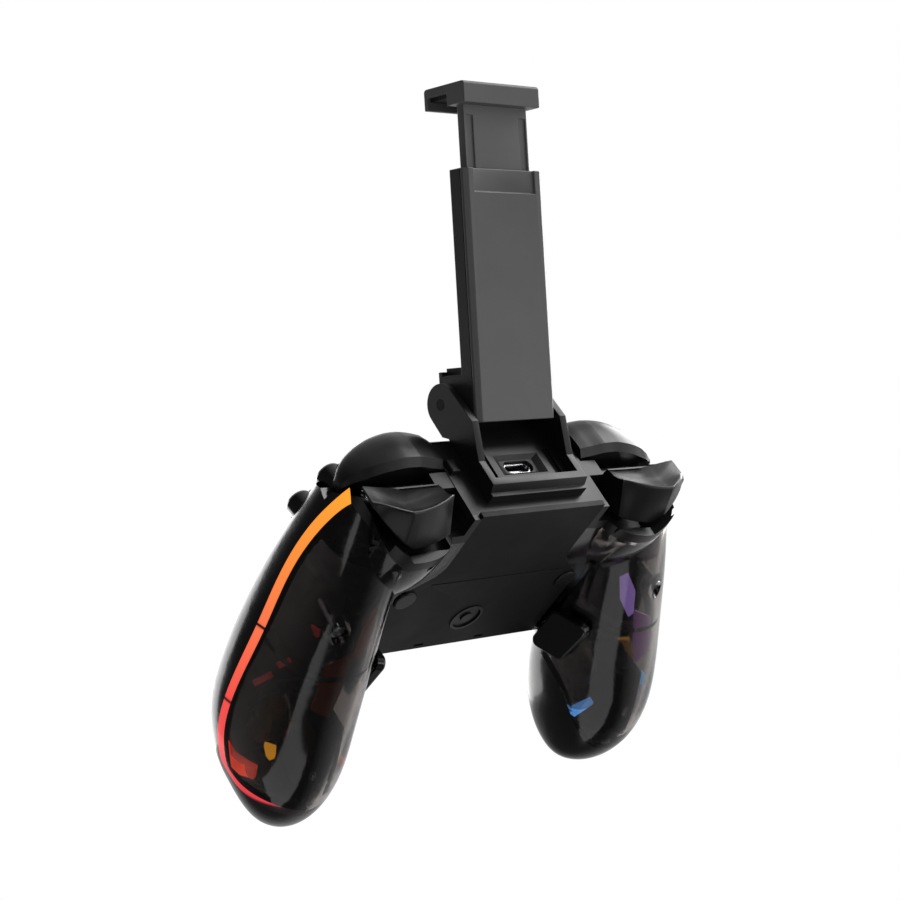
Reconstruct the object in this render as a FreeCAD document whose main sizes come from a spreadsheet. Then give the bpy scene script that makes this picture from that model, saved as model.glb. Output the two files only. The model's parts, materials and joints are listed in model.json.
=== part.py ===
import FreeCAD, Part
import Sketcher
import math
import os

# Gamepad with clear grips, two back paddles and a hinged clip that holds a phone.
# Every piece is drawn in the pad's own axes: X to the player's right, Y towards the shoulder buttons,
# Z towards the face, with the flat back panel at Z 0. At the end each piece is turned and lifted
# together, so that the pad lies on a table as it does when it is put down, face up.

Vector = FreeCAD.Vector
Rotation = FreeCAD.Rotation
Placement = FreeCAD.Placement
X_AXIS = Vector(1, 0, 0)
Y_AXIS = Vector(0, 1, 0)
Z_AXIS = Vector(0, 0, 1)
ORIGIN = Vector(0, 0, 0)
FAR = 200.0
OVAL_STEPS = 14

document = FreeCAD.newDocument("Gamepad")
sheet = document.addObject("Spreadsheet::Sheet", "Sizes")

# Driving sizes in millimetres and degrees
SIZES = (
    ("ShellWall", 2.0),
    ("RunningGap", 0.3),
    ("PinGap", 0.05),
    ("FaceTilt", 12.0),
    ("BodyFront", 32.5),
    ("BodyRear", 25.4),
    ("FrontHeight", 28.0),
    ("MiddleHeight", 23.6),
    ("RearHeight", 16.7),
    ("BlendReach", 53.0),
    ("CavityFront", 18.0),
    ("DeckHalfWidth", 24.3),
    ("DeckThickness", 2.0),
    ("PanelThickness", 1.7),
    ("PanelLip", 0.9),
    ("PanelNarrow", 22.0),
    ("PanelWide", 33.0),
    ("CapRadius", 3.4),
    ("CapAcross", 29.3),
    ("BadgeRadius", 5.2),
    ("StripHeight", 2.9),
    ("StripInner", 57.0),
    ("StickHole", 12.0),
    ("StickRing", 11.0),
    ("StickPivot", 9.0),
    ("StickCapRadius", 9.0),
    ("StickCapTop", 15.5),
    ("StickDome", 12.5),
    ("ButtonRadius", 3.9),
    ("ButtonSpread", 7.1),
    ("ButtonRise", 2.2),
    ("ButtonTravel", 1.2),
    ("SmallButtonRadius", 2.3),
    ("SmallButtonRise", 0.8),
    ("SmallButtonTravel", 0.5),
    ("CrossReach", 10.5),
    ("CrossWidth", 7.0),
    ("CrossRise", 2.6),
    ("CrossPivot", 9.0),
    ("BoardTop", 15.0),
    ("BoardThickness", 1.6),
    ("BatteryLength", 40.0),
    ("BatteryWidth", 24.0),
    ("BatteryThickness", 5.6),
    ("MotorRadius", 8.0),
    ("MotorLength", 12.0),
    ("WeightRadius", 7.4),
    ("WeightLength", 5.0),
    ("ScrewHeadRadius", 2.0),
    ("ScrewRadius", 1.1),
    ("PaddleThickness", 2.6),
    ("PaddleTravel", 0.5),
    ("BumperBottom", 17.2),
    ("BumperPinInset", 3.1),
    ("BumperPivotAlong", 29.0),
    ("BumperSwing", 1.7),
    ("TriggerPivotAlong", 28.2),
    ("TriggerPivotHeight", 13.6),
    ("TriggerSwing", 12.0),
    ("PinRadius", 1.2),
    ("ClipHalfWidth", 17.0),
    ("CheekThickness", 2.3),
    ("HingeAlong", 36.6),
    ("HingeHeight", 36.0),
    ("HingeRadius", 5.7),
    ("HingePinRadius", 1.6),
    ("ArmAngle", 50.0),
    ("ArmHalfWidth", 14.0),
    ("ArmTop", 62.1),
    ("ArmBack", 12.0),
    ("ArmFront", 5.7),
    ("CoverThickness", 2.0),
    ("SliderHalfWidth", 11.3),
    ("SliderThickness", 2.7),
    ("SliderTail", 25.0),
    ("JawTop", 84.9),
    ("JawThickness", 2.5),
    ("JawHalfWidth", 13.5),
    ("SlotDepth", 7.9),
    ("PadThickness", 1.0),
    ("LowerJawBottom", 6.0),
)
for row, (alias, value) in enumerate(SIZES, start=1):
    sheet.set(f"A{row}", alias)
    sheet.set(f"B{row}", str(value))
    sheet.setAlias(f"B{row}", alias)
document.recompute()


def size(alias):
    return float(sheet.get(alias))


# Grip sections, front to tip: along, centre across, centre height, half width, rise, drop
GRIP_SECTIONS = (
    (34.0, 45.5, 18.0, 11.5, 10.5, 10.0),
    (20.0, 48.0, 13.5, 13.7, 13.3, 15.0),
    (5.0, 51.5, 8.0, 15.5, 16.0, 18.0),
    (-10.0, 54.3, 2.3, 17.2, 17.8, 20.0),
    (-28.0, 57.0, -5.4, 18.0, 19.4, 22.4),
    (-44.0, 57.0, -11.3, 16.0, 18.6, 21.3),
    (-55.0, 55.5, -15.5, 10.5, 13.2, 14.5),
    (-60.0, 54.5, -17.5, 6.0, 7.5, 8.0),
    (-62.0, 54.2, -18.0, 2.0, 2.4, 2.6),
)
GRIP_POWER = 2.3

# Round housing behind each trigger, rear to front, in the same order of values
HOUSING_SECTIONS = (
    (3.0, 42.0, 3.0, 4.0, 3.0, 3.0),
    (7.0, 41.4, 3.5, 9.5, 6.0, 6.6),
    (14.0, 40.8, 4.0, 12.2, 8.0, 9.2),
    (21.0, 40.5, 4.0, 12.8, 8.0, 10.0),
    (30.0, 40.5, 4.0, 12.6, 8.0, 9.8),
)

# Controls on the face: across and along
RIGHT_STICK = (35.0, -2.5)
LEFT_STICK = (-46.0, 6.5)
CROSS_PAD = (-30.0, -9.0)
BUTTON_GROUP = (49.5, 13.2)
SMALL_BUTTONS = (("view_button", -11.0, 9.0), ("menu_button", 11.0, 9.0), ("home_button", 0.0, 19.0))
BUTTON_DEPTH = 4.8
SMALL_BUTTON_DEPTH = 3.2

wall = size("ShellWall")
gap = size("RunningGap")
pin_gap = size("PinGap")
deck_edge = size("DeckHalfWidth")
nodes = []


# Helpers for shapes

def oval_wire(along, across, height, half_width, rise, drop):
    points = []
    for step in range(OVAL_STEPS):
        angle = 2.0 * math.pi * step / OVAL_STEPS
        c = math.cos(angle)
        s = math.sin(angle)
        x = across + half_width * math.copysign(abs(c) ** (2.0 / GRIP_POWER), c)
        reach = rise if s > 0 else drop
        z = height + reach * math.copysign(abs(s) ** (2.0 / GRIP_POWER), s)
        points.append(Vector(x, along, z))
    curve = Part.BSplineCurve()
    curve.interpolate(points, PeriodicFlag=True)
    return Part.Wire(curve.toShape())


def oval_loft(sections):
    return Part.makeLoft([oval_wire(*section) for section in sections], True, False)


def shrunk(section, amount):
    along, across, height, half_width, rise, drop = section
    return (along, across, height, half_width - amount, rise - amount, drop - amount)


def section_between(sections, along):
    for front, rear in zip(sections, sections[1:]):
        if front[0] >= along >= rear[0]:
            share = (front[0] - along) / (front[0] - rear[0])
            return tuple(a + (b - a) * share for a, b in zip(front, rear))
    raise ValueError("no section there")


def box(x0, x1, y0, y1, z0, z1):
    return Part.makeBox(x1 - x0, y1 - y0, z1 - z0, Vector(x0, y0, z0))


def post(radius, start, direction, length):
    return Part.makeCylinder(radius, length, start, direction)


def side_profile(points, across, grow=0.0):
    """YZ outline, as a face at X across."""
    wire = Part.makePolygon([Vector(across, y, z) for y, z in points + points[:1]])
    if grow:
        wire = wire.makeOffset2D(grow)
    return Part.Face(wire)


def side_prism(points, x0, x1, grow=0.0):
    return side_profile(points, x0, grow).extrude(Vector(x1 - x0, 0, 0))


def plan_prism(points, z0, z1, grow=0.0):
    wire = Part.makePolygon([Vector(x, y, z0) for x, y in points + points[:1]])
    if grow:
        wire = wire.makeOffset2D(grow)
    return Part.Face(wire).extrude(Vector(0, 0, z1 - z0))


def mirrored(shape):
    return shape.mirror(ORIGIN, X_AXIS)


def sided(shape, side):
    return shape if side > 0 else mirrored(shape)


def rounded(shape, radius, picks):
    """Fillets the edges that picks() accepts by their middle point."""
    edges = []
    for edge in shape.Edges:
        middle = edge.valueAt((edge.FirstParameter + edge.LastParameter) / 2)
        if picks(middle, edge):
            edges.append(edge)
    return shape.makeFillet(radius, edges) if edges else shape


def moved(shape, placement):
    copy = shape.copy()
    copy.Placement = placement.multiply(copy.Placement)
    return copy


def one_solid(shape):
    """The largest solid of a boolean's result, so that no sliver stays with it."""
    return max(shape.Solids, key=lambda solid: solid.Volume)


# Helpers for document objects

def keep(thing, label, local=None):
    thing.Label = label
    nodes.append((thing, local or Placement()))
    return thing


def feature(label, shape, local=None):
    thing = document.addObject("Part::Feature", label)
    thing.Shape = shape
    return keep(thing, label, local)


def cylinder(label, radius_alias, height, local):
    thing = document.addObject("Part::Cylinder", label)
    thing.setExpression("Radius", f"Sizes.{radius_alias}")
    thing.Height = height
    return keep(thing, label, local)


def sketch_on(body, role, name):
    sketch = body.newObject("Sketcher::SketchObject", name)
    plane = next(item for item in body.Origin.OriginFeatures if item.Role == role)
    sketch.AttachmentSupport = [(plane, "")]
    sketch.MapMode = "FlatFace"
    return sketch


def add_outline(sketch, points):
    for start, end in zip(points, points[1:] + points[:1]):
        sketch.addGeometry(Part.LineSegment(Vector(*start, 0), Vector(*end, 0)), False)


def add_circle(sketch, across, up, radius_alias):
    circle = sketch.addGeometry(Part.Circle(Vector(across, up, 0), Z_AXIS, size(radius_alias)), False)
    rule = sketch.addConstraint(Sketcher.Constraint("Radius", circle, size(radius_alias)))
    sketch.setExpression(f"Constraints[{rule}]", f"Sizes.{radius_alias}")


# Shape of the face, seen from the side

def face_arc(drops):
    """Arc of the face from the shoulder edge to the player's side, lowered by three amounts."""
    front = Vector(0, size("BodyFront") - 2.0, size("FrontHeight") - drops[0])
    middle = Vector(0, 2.0, size("MiddleHeight") - drops[1])
    rear = Vector(0, -size("BodyRear") + 2.8, size("RearHeight") - drops[2])
    return Part.Arc(front, middle, rear)


def face_height(along):
    circle = face_arc((0, 0, 0)).toShape().Curve
    centre = circle.Center
    return centre.z + math.sqrt(circle.Radius ** 2 - (along - centre.y) ** 2)


def block_wire(across, drops, inset, floor, front):
    """Side outline of the middle of the pad at one distance across."""
    rear = -size("BodyRear") + inset
    arc = face_arc([drop + inset for drop in drops])
    start = arc.StartPoint
    end = arc.EndPoint
    nose = Vector(0, front, start.z - 2.0)
    heel = Vector(0, rear, end.z - 3.2)
    start = Vector(0, min(start.y, front - 0.5), start.z)
    end = Vector(0, end.y + inset * 0.5, end.z)
    crown = Part.Arc(start, Vector(0, 2.0, size("MiddleHeight") - drops[1] - inset), end)
    nose_arc = Part.Arc(nose, Vector(0, (nose.y * 3 + start.y) / 4, (nose.z + start.z * 3) / 4 - 0.3), start)
    heel_arc = Part.Arc(end, Vector(0, (heel.y * 3 + end.y) / 4 + 0.1, (heel.z + end.z * 3) / 4 - 0.25), heel)
    bottom_rear = Vector(0, rear, floor)
    bottom_front = Vector(0, front, floor)
    edges = [
        Part.LineSegment(bottom_front, nose).toShape(),
        nose_arc.toShape(),
        crown.toShape(),
        heel_arc.toShape(),
        Part.LineSegment(heel, bottom_rear).toShape(),
        Part.LineSegment(bottom_rear, bottom_front).toShape(),
    ]
    wire = Part.Wire(edges)
    wire.translate(Vector(across, 0, 0))
    return wire


def middle_block(inset, floor, front, reach):
    level = (0.0, 0.0, 0.0)
    outer = (0.8, 1.2, 3.6)
    shoulder = 34.0
    wires = [
        block_wire(-reach, outer, inset, floor, front),
        block_wire(-shoulder, level, inset, floor, front),
        block_wire(shoulder, level, inset, floor, front),
        block_wire(reach, outer, inset, floor, front),
    ]
    return Part.makeLoft(wires, True, True)


# Frames: one on the face for each control, one on the clip's hinge

def face_frame(across, along):
    lift = face_height(along)
    return Placement(Vector(across, along, lift), Rotation(X_AXIS, size("FaceTilt")))


arm_frame = Placement(
    Vector(0, size("HingeAlong"), size("HingeHeight")), Rotation(X_AXIS, size("ArmAngle"))
)


# Outer form and hollow of the pad

def grip_outer():
    return oval_loft(GRIP_SECTIONS)


def grip_inner():
    front = section_between(GRIP_SECTIONS, size("CavityFront"))
    behind = [section for section in GRIP_SECTIONS if -59.0 < section[0] < size("CavityFront")]
    return oval_loft([shrunk(section, wall) for section in [front] + behind])


def housing_outer():
    return oval_loft(HOUSING_SECTIONS[::-1])


def pad_outer():
    body = middle_block(0.0, 0.0, size("BodyFront"), size("BlendReach"))
    right = grip_outer()
    housing = housing_outer()
    return body.multiFuse([right, mirrored(right), housing, mirrored(housing)])


def pad_inner():
    floor = size("PanelThickness")
    front = size("BodyFront") - size("DeckThickness")
    body = middle_block(wall, floor, front, size("BlendReach") - 4.0)
    keep_front = box(1.8 - deck_edge, deck_edge - 1.8, -FAR, FAR, -FAR, FAR)
    keep_rear = box(-FAR, FAR, -FAR, size("CavityFront"), -FAR, FAR)
    body = body.common(keep_front.fuse(keep_rear))
    right = grip_inner()
    return body.multiFuse([right, mirrored(right)])


# Seam between the smoked front and the clear back of a grip, seen from the side:
# along and height at the inner and the outer side of the grip
SEAM_INNER_TOP = ((36.0, 1.7), (22.0, 1.7), (6.0, 1.7), (-10.0, 1.7), (-24.0, 1.2), (-32.0, -2.4))
SEAM_INNER_REAR = ((-32.0, -2.4), (-32.4, -11.4), (-35.0, -19.2), (-41.0, -26.0), (-50.0, -33.0))
SEAM_OUTER_TOP = ((36.0, 27.0), (19.0, 22.3), (7.0, 15.2), (-8.5, 4.6), (-30.0, -4.6), (-47.3, -14.0))
SEAM_OUTER_REAR = ((-47.3, -14.0), (-47.4, -20.0), (-46.4, -26.0), (-44.6, -32.0), (-43.0, -37.0))
SEAM_BOTTOM = -46.0
SEAM_STATIONS = (20.0, 36.0, 78.0)


def seam_curve(points):
    curve = Part.BSplineCurve()
    curve.interpolate(points)
    return curve.toShape()


def seam_wire(across, top, rear, drop, shift):
    top_points = [Vector(across, y, z - drop) for y, z in top]
    top_points[-1].y += shift
    rear_points = [Vector(across, y + shift, z - (drop if index == 0 else 0.0))
                   for index, (y, z) in enumerate(rear)]
    corner = Vector(across, rear_points[-1].y, SEAM_BOTTOM)
    front = Vector(across, top_points[0].y, SEAM_BOTTOM)
    edges = [
        seam_curve(top_points),
        seam_curve(rear_points),
        Part.LineSegment(rear_points[-1], corner).toShape(),
        Part.LineSegment(corner, front).toShape(),
        Part.LineSegment(front, top_points[0]).toShape(),
    ]
    return Part.Wire(edges)


def seam_block(drop=0.0, shift=0.0):
    inner_near, inner_far, outer = SEAM_STATIONS
    wires = [
        seam_wire(inner_near, SEAM_INNER_TOP, SEAM_INNER_REAR, drop, shift),
        seam_wire(inner_far, SEAM_INNER_TOP, SEAM_INNER_REAR, drop, shift),
        seam_wire(outer, SEAM_OUTER_TOP, SEAM_OUTER_REAR, drop, shift),
    ]
    return Part.makeLoft(wires, True, True)


# Panel outline, seen from the back, one half of it
def panel_half():
    narrow = size("PanelNarrow")
    wide = size("PanelWide")
    front = size("BodyFront") + size("PanelLip")
    return [(narrow, front), (narrow, 12.5), (24.0, 8.5), (wide - 2.5, 3.6), (wide, 0.5), (wide, -size("BodyRear"))]


def panel_outline():
    half = panel_half()
    return half + [(-x, y) for x, y in half[::-1]]


# Shoulder buttons

BUMPER_REAR = 26.5
BUMPER_PLAN = [(deck_edge + 0.6, 34.6), (30.0, 35.9), (36.0, 36.3), (43.0, 35.3), (50.0, 32.9), (55.4, 29.6), (56.8, 27.4)]
BUMPER_SIDE = [(36.4, 17.2), (36.4, 20.0), (35.9, 23.6), (34.2, 28.0), (31.8, 30.6), (29.4, 30.6), (26.5, 28.6)]
BUMPER_FRONT = [(40.0, 31.4), (45.0, 30.8), (50.0, 28.6), (54.0, 24.4), (56.8, 17.2)]
LUG_END = deck_edge + 5.8
BAY_END = 66.0
TRIGGER_BAY = [(deck_edge, 26.2), (43.5, 24.8), (58.0, 34.5), (BAY_END, 40.0), (BAY_END, 60.0),
               (deck_edge, 60.0)]
TRIGGER_PLAN = [(LUG_END + 0.5, 37.0), (LUG_END + 0.5, 26.7), (43.5, 25.5), (54.6, 33.0), (56.6, 35.0),
                (54.0, 36.4), (47.0, 37.4)]
TRIGGER_SIDE = [(37.5, 8.0), (37.5, 0.2), (27.6, -3.2), (25.2, -1.2), (24.6, 11.5), (31.0, 12.0), (35.0, 11.6)]
# Lip of a trigger's finger side: across and height; it dips in the middle of the trigger
TRIGGER_LIP = ((29.0, 6.9), (47.0, 1.1), (60.0, 8.0))
TRIGGER_INNER = LUG_END + 0.9
TRIGGER_OUTER = 44.0
TRIGGER_BOSS = 2.4
TRIGGER_PIN_END = 52.0


def trigger_axis():
    return Vector(0, size("TriggerPivotAlong"), size("TriggerPivotHeight"))


def bumper_pin_spot(height):
    return Vector(deck_edge + size("BumperPinInset"), size("BumperPivotAlong"), height)


def bumper_bay():
    """Room for a bumper: its rear wall falls back from the pin by as much as the bumper swings in."""
    pin = bumper_pin_spot(0.0)
    rear = BUMPER_REAR - gap
    swing = (BAY_END - pin.x) * math.tan(math.radians(size("BumperSwing")))
    return plan_prism([(deck_edge, rear), (pin.x, rear), (BAY_END, rear - swing), (BAY_END, FAR), (deck_edge, FAR)],
                      size("BumperBottom") - 0.6, FAR)


def trigger_block(grow):
    plan = plan_prism(TRIGGER_PLAN, -10.0, 20.0, grow)
    side = side_prism(TRIGGER_SIDE, 20.0, 66.0, grow)
    block = plan.common(side)
    boss_start = trigger_axis() + Vector(TRIGGER_INNER - grow, 0, 0)
    boss_length = TRIGGER_OUTER - TRIGGER_INNER + 2 * grow
    boss = post(TRIGGER_BOSS + grow, boss_start, X_AXIS, boss_length)
    axis = trigger_axis()
    web = box(TRIGGER_INNER - grow, TRIGGER_OUTER + grow, axis.y - TRIGGER_BOSS - grow,
              axis.y + TRIGGER_BOSS + grow, 9.0, axis.z)
    return block.multiFuse([boss, web])


def trigger_pocket():
    steps = 4
    block = trigger_block(gap + 0.1)
    copies = []
    for step in range(steps + 1):
        turned = block.copy()
        turned.rotate(trigger_axis(), X_AXIS, -size("TriggerSwing") * step / steps)
        copies.append(turned)
    return copies[0].multiFuse(copies[1:])


def lip_tool(points_at):
    """Cutter that follows the lip across the trigger; points_at gives its side outline for a lip height."""
    wires = []
    for across, height in TRIGGER_LIP:
        points = points_at(height)
        wires.append(Part.makePolygon([Vector(across, y, z) for y, z in points + points[:1]]))
    return Part.makeLoft(wires, True, True)


def finger_hollow(height):
    return [(40.0, height), (36.9, height), (35.2, height + 2.0), (34.0, height + 5.0), (33.6, 14.5), (40.0, 14.5)]


def under_lip(height):
    return [(40.0, height - 0.5), (36.6, height - 0.5), (27.4, height - 5.2), (23.0, height - 4.6),
            (23.0, -8.0), (40.0, -8.0)]


def trigger_shape():
    block = trigger_block(0.0).cut([lip_tool(finger_hollow), lip_tool(under_lip)]).removeSplitter()
    bore = post(size("PinRadius") + pin_gap, trigger_axis(), X_AXIS, FAR)
    return block.cut(bore)


def curved_face(points, corners):
    """Face bounded by a curve through points and straight runs through the corners back to its start."""
    curve = Part.BSplineCurve()
    curve.interpolate(points)
    path = [points[-1]] + corners + [points[0]]
    edges = [curve.toShape()] + [Part.LineSegment(a, b).toShape() for a, b in zip(path, path[1:])]
    return Part.Face(Part.Wire(edges))


def bumper_shape():
    """Bumper with a curved outline from above, from the side and from the front."""
    bottom = size("BumperBottom")
    rear = BUMPER_REAR
    inner = BUMPER_PLAN[0][0]
    plan = curved_face([Vector(x, y, bottom) for x, y in BUMPER_PLAN],
                       [Vector(BUMPER_PLAN[-1][0], rear, bottom), Vector(inner, rear, bottom)])
    side = curved_face([Vector(inner, y, z) for y, z in BUMPER_SIDE], [Vector(inner, rear, bottom)])
    front = curved_face([Vector(x, rear, z) for x, z in BUMPER_FRONT],
                        [Vector(inner, rear, bottom), Vector(inner, rear, BUMPER_FRONT[0][1])])
    block = plan.extrude(Vector(0, 0, 20)).common(side.extrude(Vector(40, 0, 0)))
    block = block.common(front.extrude(Vector(0, 20, 0)))
    bore = post(size("PinRadius") + pin_gap, bumper_pin_spot(bottom - 1.0), Z_AXIS, 7.6)
    return block.cut(bore)


# Openings on the face

def stick_tools(place):
    hole = moved(post(size("StickHole"), Vector(0, 0, -8), Z_AXIS, 20.0), place)
    ball = Part.makeSphere(size("StickDome") + 0.5, Vector(0, 0, -size("StickPivot")))
    dome = moved(ball.common(box(-FAR, FAR, -FAR, FAR, -size("StickPivot"), FAR)), place)
    return [hole.common(moved(box(-FAR, FAR, -FAR, FAR, -3.4, FAR), place)), dome]


def cross_solid(reach, width, z0, z1):
    one = box(-reach, reach, -width / 2, width / 2, z0, z1)
    two = box(-width / 2, width / 2, -reach, reach, z0, z1)
    return one.fuse(two).removeSplitter()


def button_spots():
    across, along = BUTTON_GROUP
    spread = size("ButtonSpread")
    return (
        ("button_north", across, along + spread),
        ("button_east", across + spread, along),
        ("button_south", across, along - spread),
        ("button_west", across - spread, along),
    )


def pod_face_lift(across, along):
    """How far the grip's top lies below the face beside it, outside the middle of the grip."""
    section = section_between(GRIP_SECTIONS, along)
    offset = max(abs(across) - section[1], 0.0) / section[3]
    top = section[2] + section[4] * (1.0 - offset ** GRIP_POWER) ** (1.0 / GRIP_POWER)
    return min(0.0, top - face_height(along))


def button_frame(across, along):
    frame = face_frame(across, along)
    frame.Base = frame.Base + Vector(0, 0, pod_face_lift(across, along))
    return frame


def face_tools():
    tools = []
    for spot in (RIGHT_STICK, LEFT_STICK):
        tools += stick_tools(face_frame(*spot))
    cross_place = face_frame(*CROSS_PAD)
    cross_hole = cross_solid(size("CrossReach") + 1.0, size("CrossWidth") + 2.0, -6.0, 6.0)
    tools.append(moved(cross_hole, cross_place))
    tools.append(moved(post(10.8, Vector(0, 0, -9.0), Z_AXIS, 7.2), cross_place))
    for _, across, along in button_spots():
        depth = BUTTON_DEPTH + size("ButtonTravel") + 0.4
        hole = post(size("ButtonRadius") + 0.25, Vector(0, 0, -depth), Z_AXIS, depth + 6.0)
        tools.append(moved(hole, button_frame(across, along)))
    for _, across, along in SMALL_BUTTONS:
        depth = SMALL_BUTTON_DEPTH + size("SmallButtonTravel") + 1.3
        hole = post(size("SmallButtonRadius") + 0.2, Vector(0, 0, -depth), Z_AXIS, depth + 5.0)
        tools.append(moved(hole, face_frame(across, along)))
    return tools


# Shells

outer = pad_outer()
inner = pad_inner()
seam = seam_block()
seam_low = seam_block(size("StripHeight"), size("StripHeight") * 0.9)
panel_cut = plan_prism(panel_outline(), -5.0, size("PanelThickness"))
bumper_cut = bumper_bay()
trigger_cut = plan_prism(TRIGGER_BAY, -FAR, size("BumperBottom") - 0.6)
pocket = trigger_pocket()
pin_hole_start = deck_edge + 0.7
pin_hole = post(size("PinRadius"), trigger_axis() + Vector(pin_hole_start, 0, 0), X_AXIS,
                TRIGGER_PIN_END - pin_hole_start)
shoulder_cuts = [bumper_cut, trigger_cut, pocket, pin_hole]
shoulder_cuts += [mirrored(tool) for tool in shoulder_cuts]
shell = outer.cut(inner).cut(panel_cut)
shell = shell.cut(shoulder_cuts)

SCREW_SPOT = (57.7, 3.0)
# Paddle on the inner slope of a grip: its frame looks into the grip along X
paddle_frame = Placement(Vector(36.3, -18.5, -6.2), Rotation(Y_AXIS, -16.0))
PADDLE_PLAN = [(-11.0, 5.7), (4.5, 5.7), (9.5, -6.8), (-7.0, -5.6)]
PADDLE_BOSS = 4.0
PADDLE_CORNER = 2.4


def paddle_boss(grow):
    half = PADDLE_BOSS + grow
    return moved(box(0.5, 6.0 + grow, -half, half, -half, half), paddle_frame)


def grip_shape():
    """Clear back of the right grip, with its screw boss and the window for the paddle."""
    part = shell.common(seam)
    outer_side = box(size("StripInner"), FAR, -FAR, FAR, -FAR, FAR)
    band = seam.cut(seam_low).common(outer_side)
    part = part.cut(band)
    across, along = SCREW_SPOT
    boss = post(3.6, Vector(across, along, -20.0), Z_AXIS, 14.0).common(inner)
    part = one_solid(part).fuse(boss)
    part = part.cut(post(2.3, Vector(across, along, -25.0), Z_AXIS, 17.6))
    part = part.cut(post(size("ScrewRadius"), Vector(across, along, -25.0), Z_AXIS, 30.0))
    part = part.cut(post(size("CapRadius"), Vector(size("CapAcross"), 0, -5), Z_AXIS, 12.0))
    return one_solid(part.cut(paddle_boss(0.2)))


def strip_shape():
    outer_side = box(size("StripInner"), FAR, -FAR, FAR, -FAR, FAR)
    return one_solid(shell.common(seam.cut(seam_low).common(outer_side)))


def front_shape():
    part = shell.cut([seam, mirrored(seam)])
    deck_hole = box(-deck_edge, deck_edge, size("BodyFront") - size("DeckThickness"), FAR,
                    -FAR, size("FrontHeight") - 2.0)
    part = part.cut([deck_hole] + face_tools())
    return one_solid(part)


grip = grip_shape()
strip = strip_shape()
for side, name in ((1, "right"), (-1, "left")):
    feature(f"back_grip_{name}", sided(grip, side))
    feature(f"light_strip_{name}", sided(strip, side))
feature("front_shell", front_shape())


# Back panel, its two screw caps and its ringed disc

def pad_feature(body, sketch, name, length=None, length_alias=None, side_type="One side", reverse=False):
    pad = body.newObject("PartDesign::Pad", name)
    pad.Profile = sketch
    pad.SideType = side_type
    pad.Reversed = reverse
    if length_alias:
        pad.setExpression("Length", f"Sizes.{length_alias}")
    else:
        pad.Length = length
    return pad


def pocket_feature(body, sketch, name, length, reverse=False, side_type="One side"):
    pocket = body.newObject("PartDesign::Pocket", name)
    pocket.Profile = sketch
    pocket.SideType = side_type
    pocket.Reversed = reverse
    pocket.Length = length
    return pocket


SLOT_ACROSS = 11.1
SLOT_ALONG = -23.7
BADGE_ALONG = -12.9
SEAM_ALONG = 5.0


def back_panel():
    body = document.addObject("PartDesign::Body", "back_panel")
    outline = sketch_on(body, "XY_Plane", "panel_outline")
    add_outline(outline, panel_outline())
    pad_feature(body, outline, "panel_plate", length_alias="PanelThickness")
    holes = sketch_on(body, "XY_Plane", "panel_holes")
    for side in (1, -1):
        add_circle(holes, side * size("CapAcross"), 0.0, "CapRadius")
        x0 = side * SLOT_ACROSS - 1.6
        add_outline(holes, [(x0, SLOT_ALONG - 0.5), (x0 + 3.2, SLOT_ALONG - 0.5),
                            (x0 + 3.2, SLOT_ALONG + 0.5), (x0, SLOT_ALONG + 0.5)])
    add_circle(holes, 0.0, BADGE_ALONG, "BadgeRadius")
    pocket_feature(body, holes, "panel_openings", 40.0, side_type="Symmetric")
    groove = sketch_on(body, "XY_Plane", "panel_groove")
    narrow = size("PanelNarrow") + 1.0
    add_outline(groove, [(-narrow, SEAM_ALONG), (narrow, SEAM_ALONG),
                         (narrow, SEAM_ALONG + 0.4), (-narrow, SEAM_ALONG + 0.4)])
    pocket_feature(body, groove, "panel_seam", 0.8, side_type="Symmetric")
    keep(body, "back_panel")


back_panel()
cap = post(size("CapRadius"), Vector(size("CapAcross"), 0, -0.7), Z_AXIS, 2.4)
cap = rounded(cap, 0.5, lambda middle, edge: middle.z < -0.6)
feature("cap_right", cap)
feature("cap_left", mirrored(cap))
badge = post(size("BadgeRadius"), Vector(0, BADGE_ALONG, -0.3), Z_AXIS, 2.0)
badge = badge.cut(post(4.4, Vector(0, BADGE_ALONG, -0.3), Z_AXIS, 0.5))
badge = badge.fuse(post(1.8, Vector(0, BADGE_ALONG, -0.3), Z_AXIS, 1.0))
feature("badge_disc", badge)


# Shoulder deck between the bumpers, with the lugs that carry the bumpers and the triggers

USB_HEIGHT = 15.5
USB_HALF_WIDTH = 4.6
USB_HALF_HEIGHT = 1.7
BUMPER_PIN_FOOT = 15.2


def rounded_slot(half_width, half_height, y0, y1):
    middle = box(-half_width + half_height, half_width - half_height, y0, y1,
                 USB_HEIGHT - half_height, USB_HEIGHT + half_height)
    reach = half_width - half_height
    ends = [post(half_height, Vector(side * reach, y0, USB_HEIGHT), Y_AXIS, y1 - y0) for side in (1, -1)]
    return middle.multiFuse(ends).removeSplitter()


def deck_shape():
    front = size("BodyFront")
    plate = box(-deck_edge, deck_edge, front - size("DeckThickness"), front,
                size("PanelThickness"), size("FrontHeight") - 2.0)
    lugs = []
    for side in (1, -1):
        lug = box(deck_edge - 2.0, LUG_END, 26.2, 32.3, 11.2, size("BumperBottom") - 0.6)
        lug = lug.cut(box(0, deck_edge, 0, front - size("DeckThickness"), 0, FAR))
        lug = lug.cut(post(size("PinRadius"), trigger_axis() + Vector(20, 0, 0), X_AXIS, 30.0))
        lug = lug.cut(post(size("PinRadius"), bumper_pin_spot(BUMPER_PIN_FOOT), Z_AXIS, 5.0))
        lugs.append(sided(lug, side))
    deck = plate.multiFuse(lugs).removeSplitter()
    return deck.cut(rounded_slot(USB_HALF_WIDTH + 0.1, USB_HALF_HEIGHT + 0.1, 20.0, 40.0))


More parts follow.
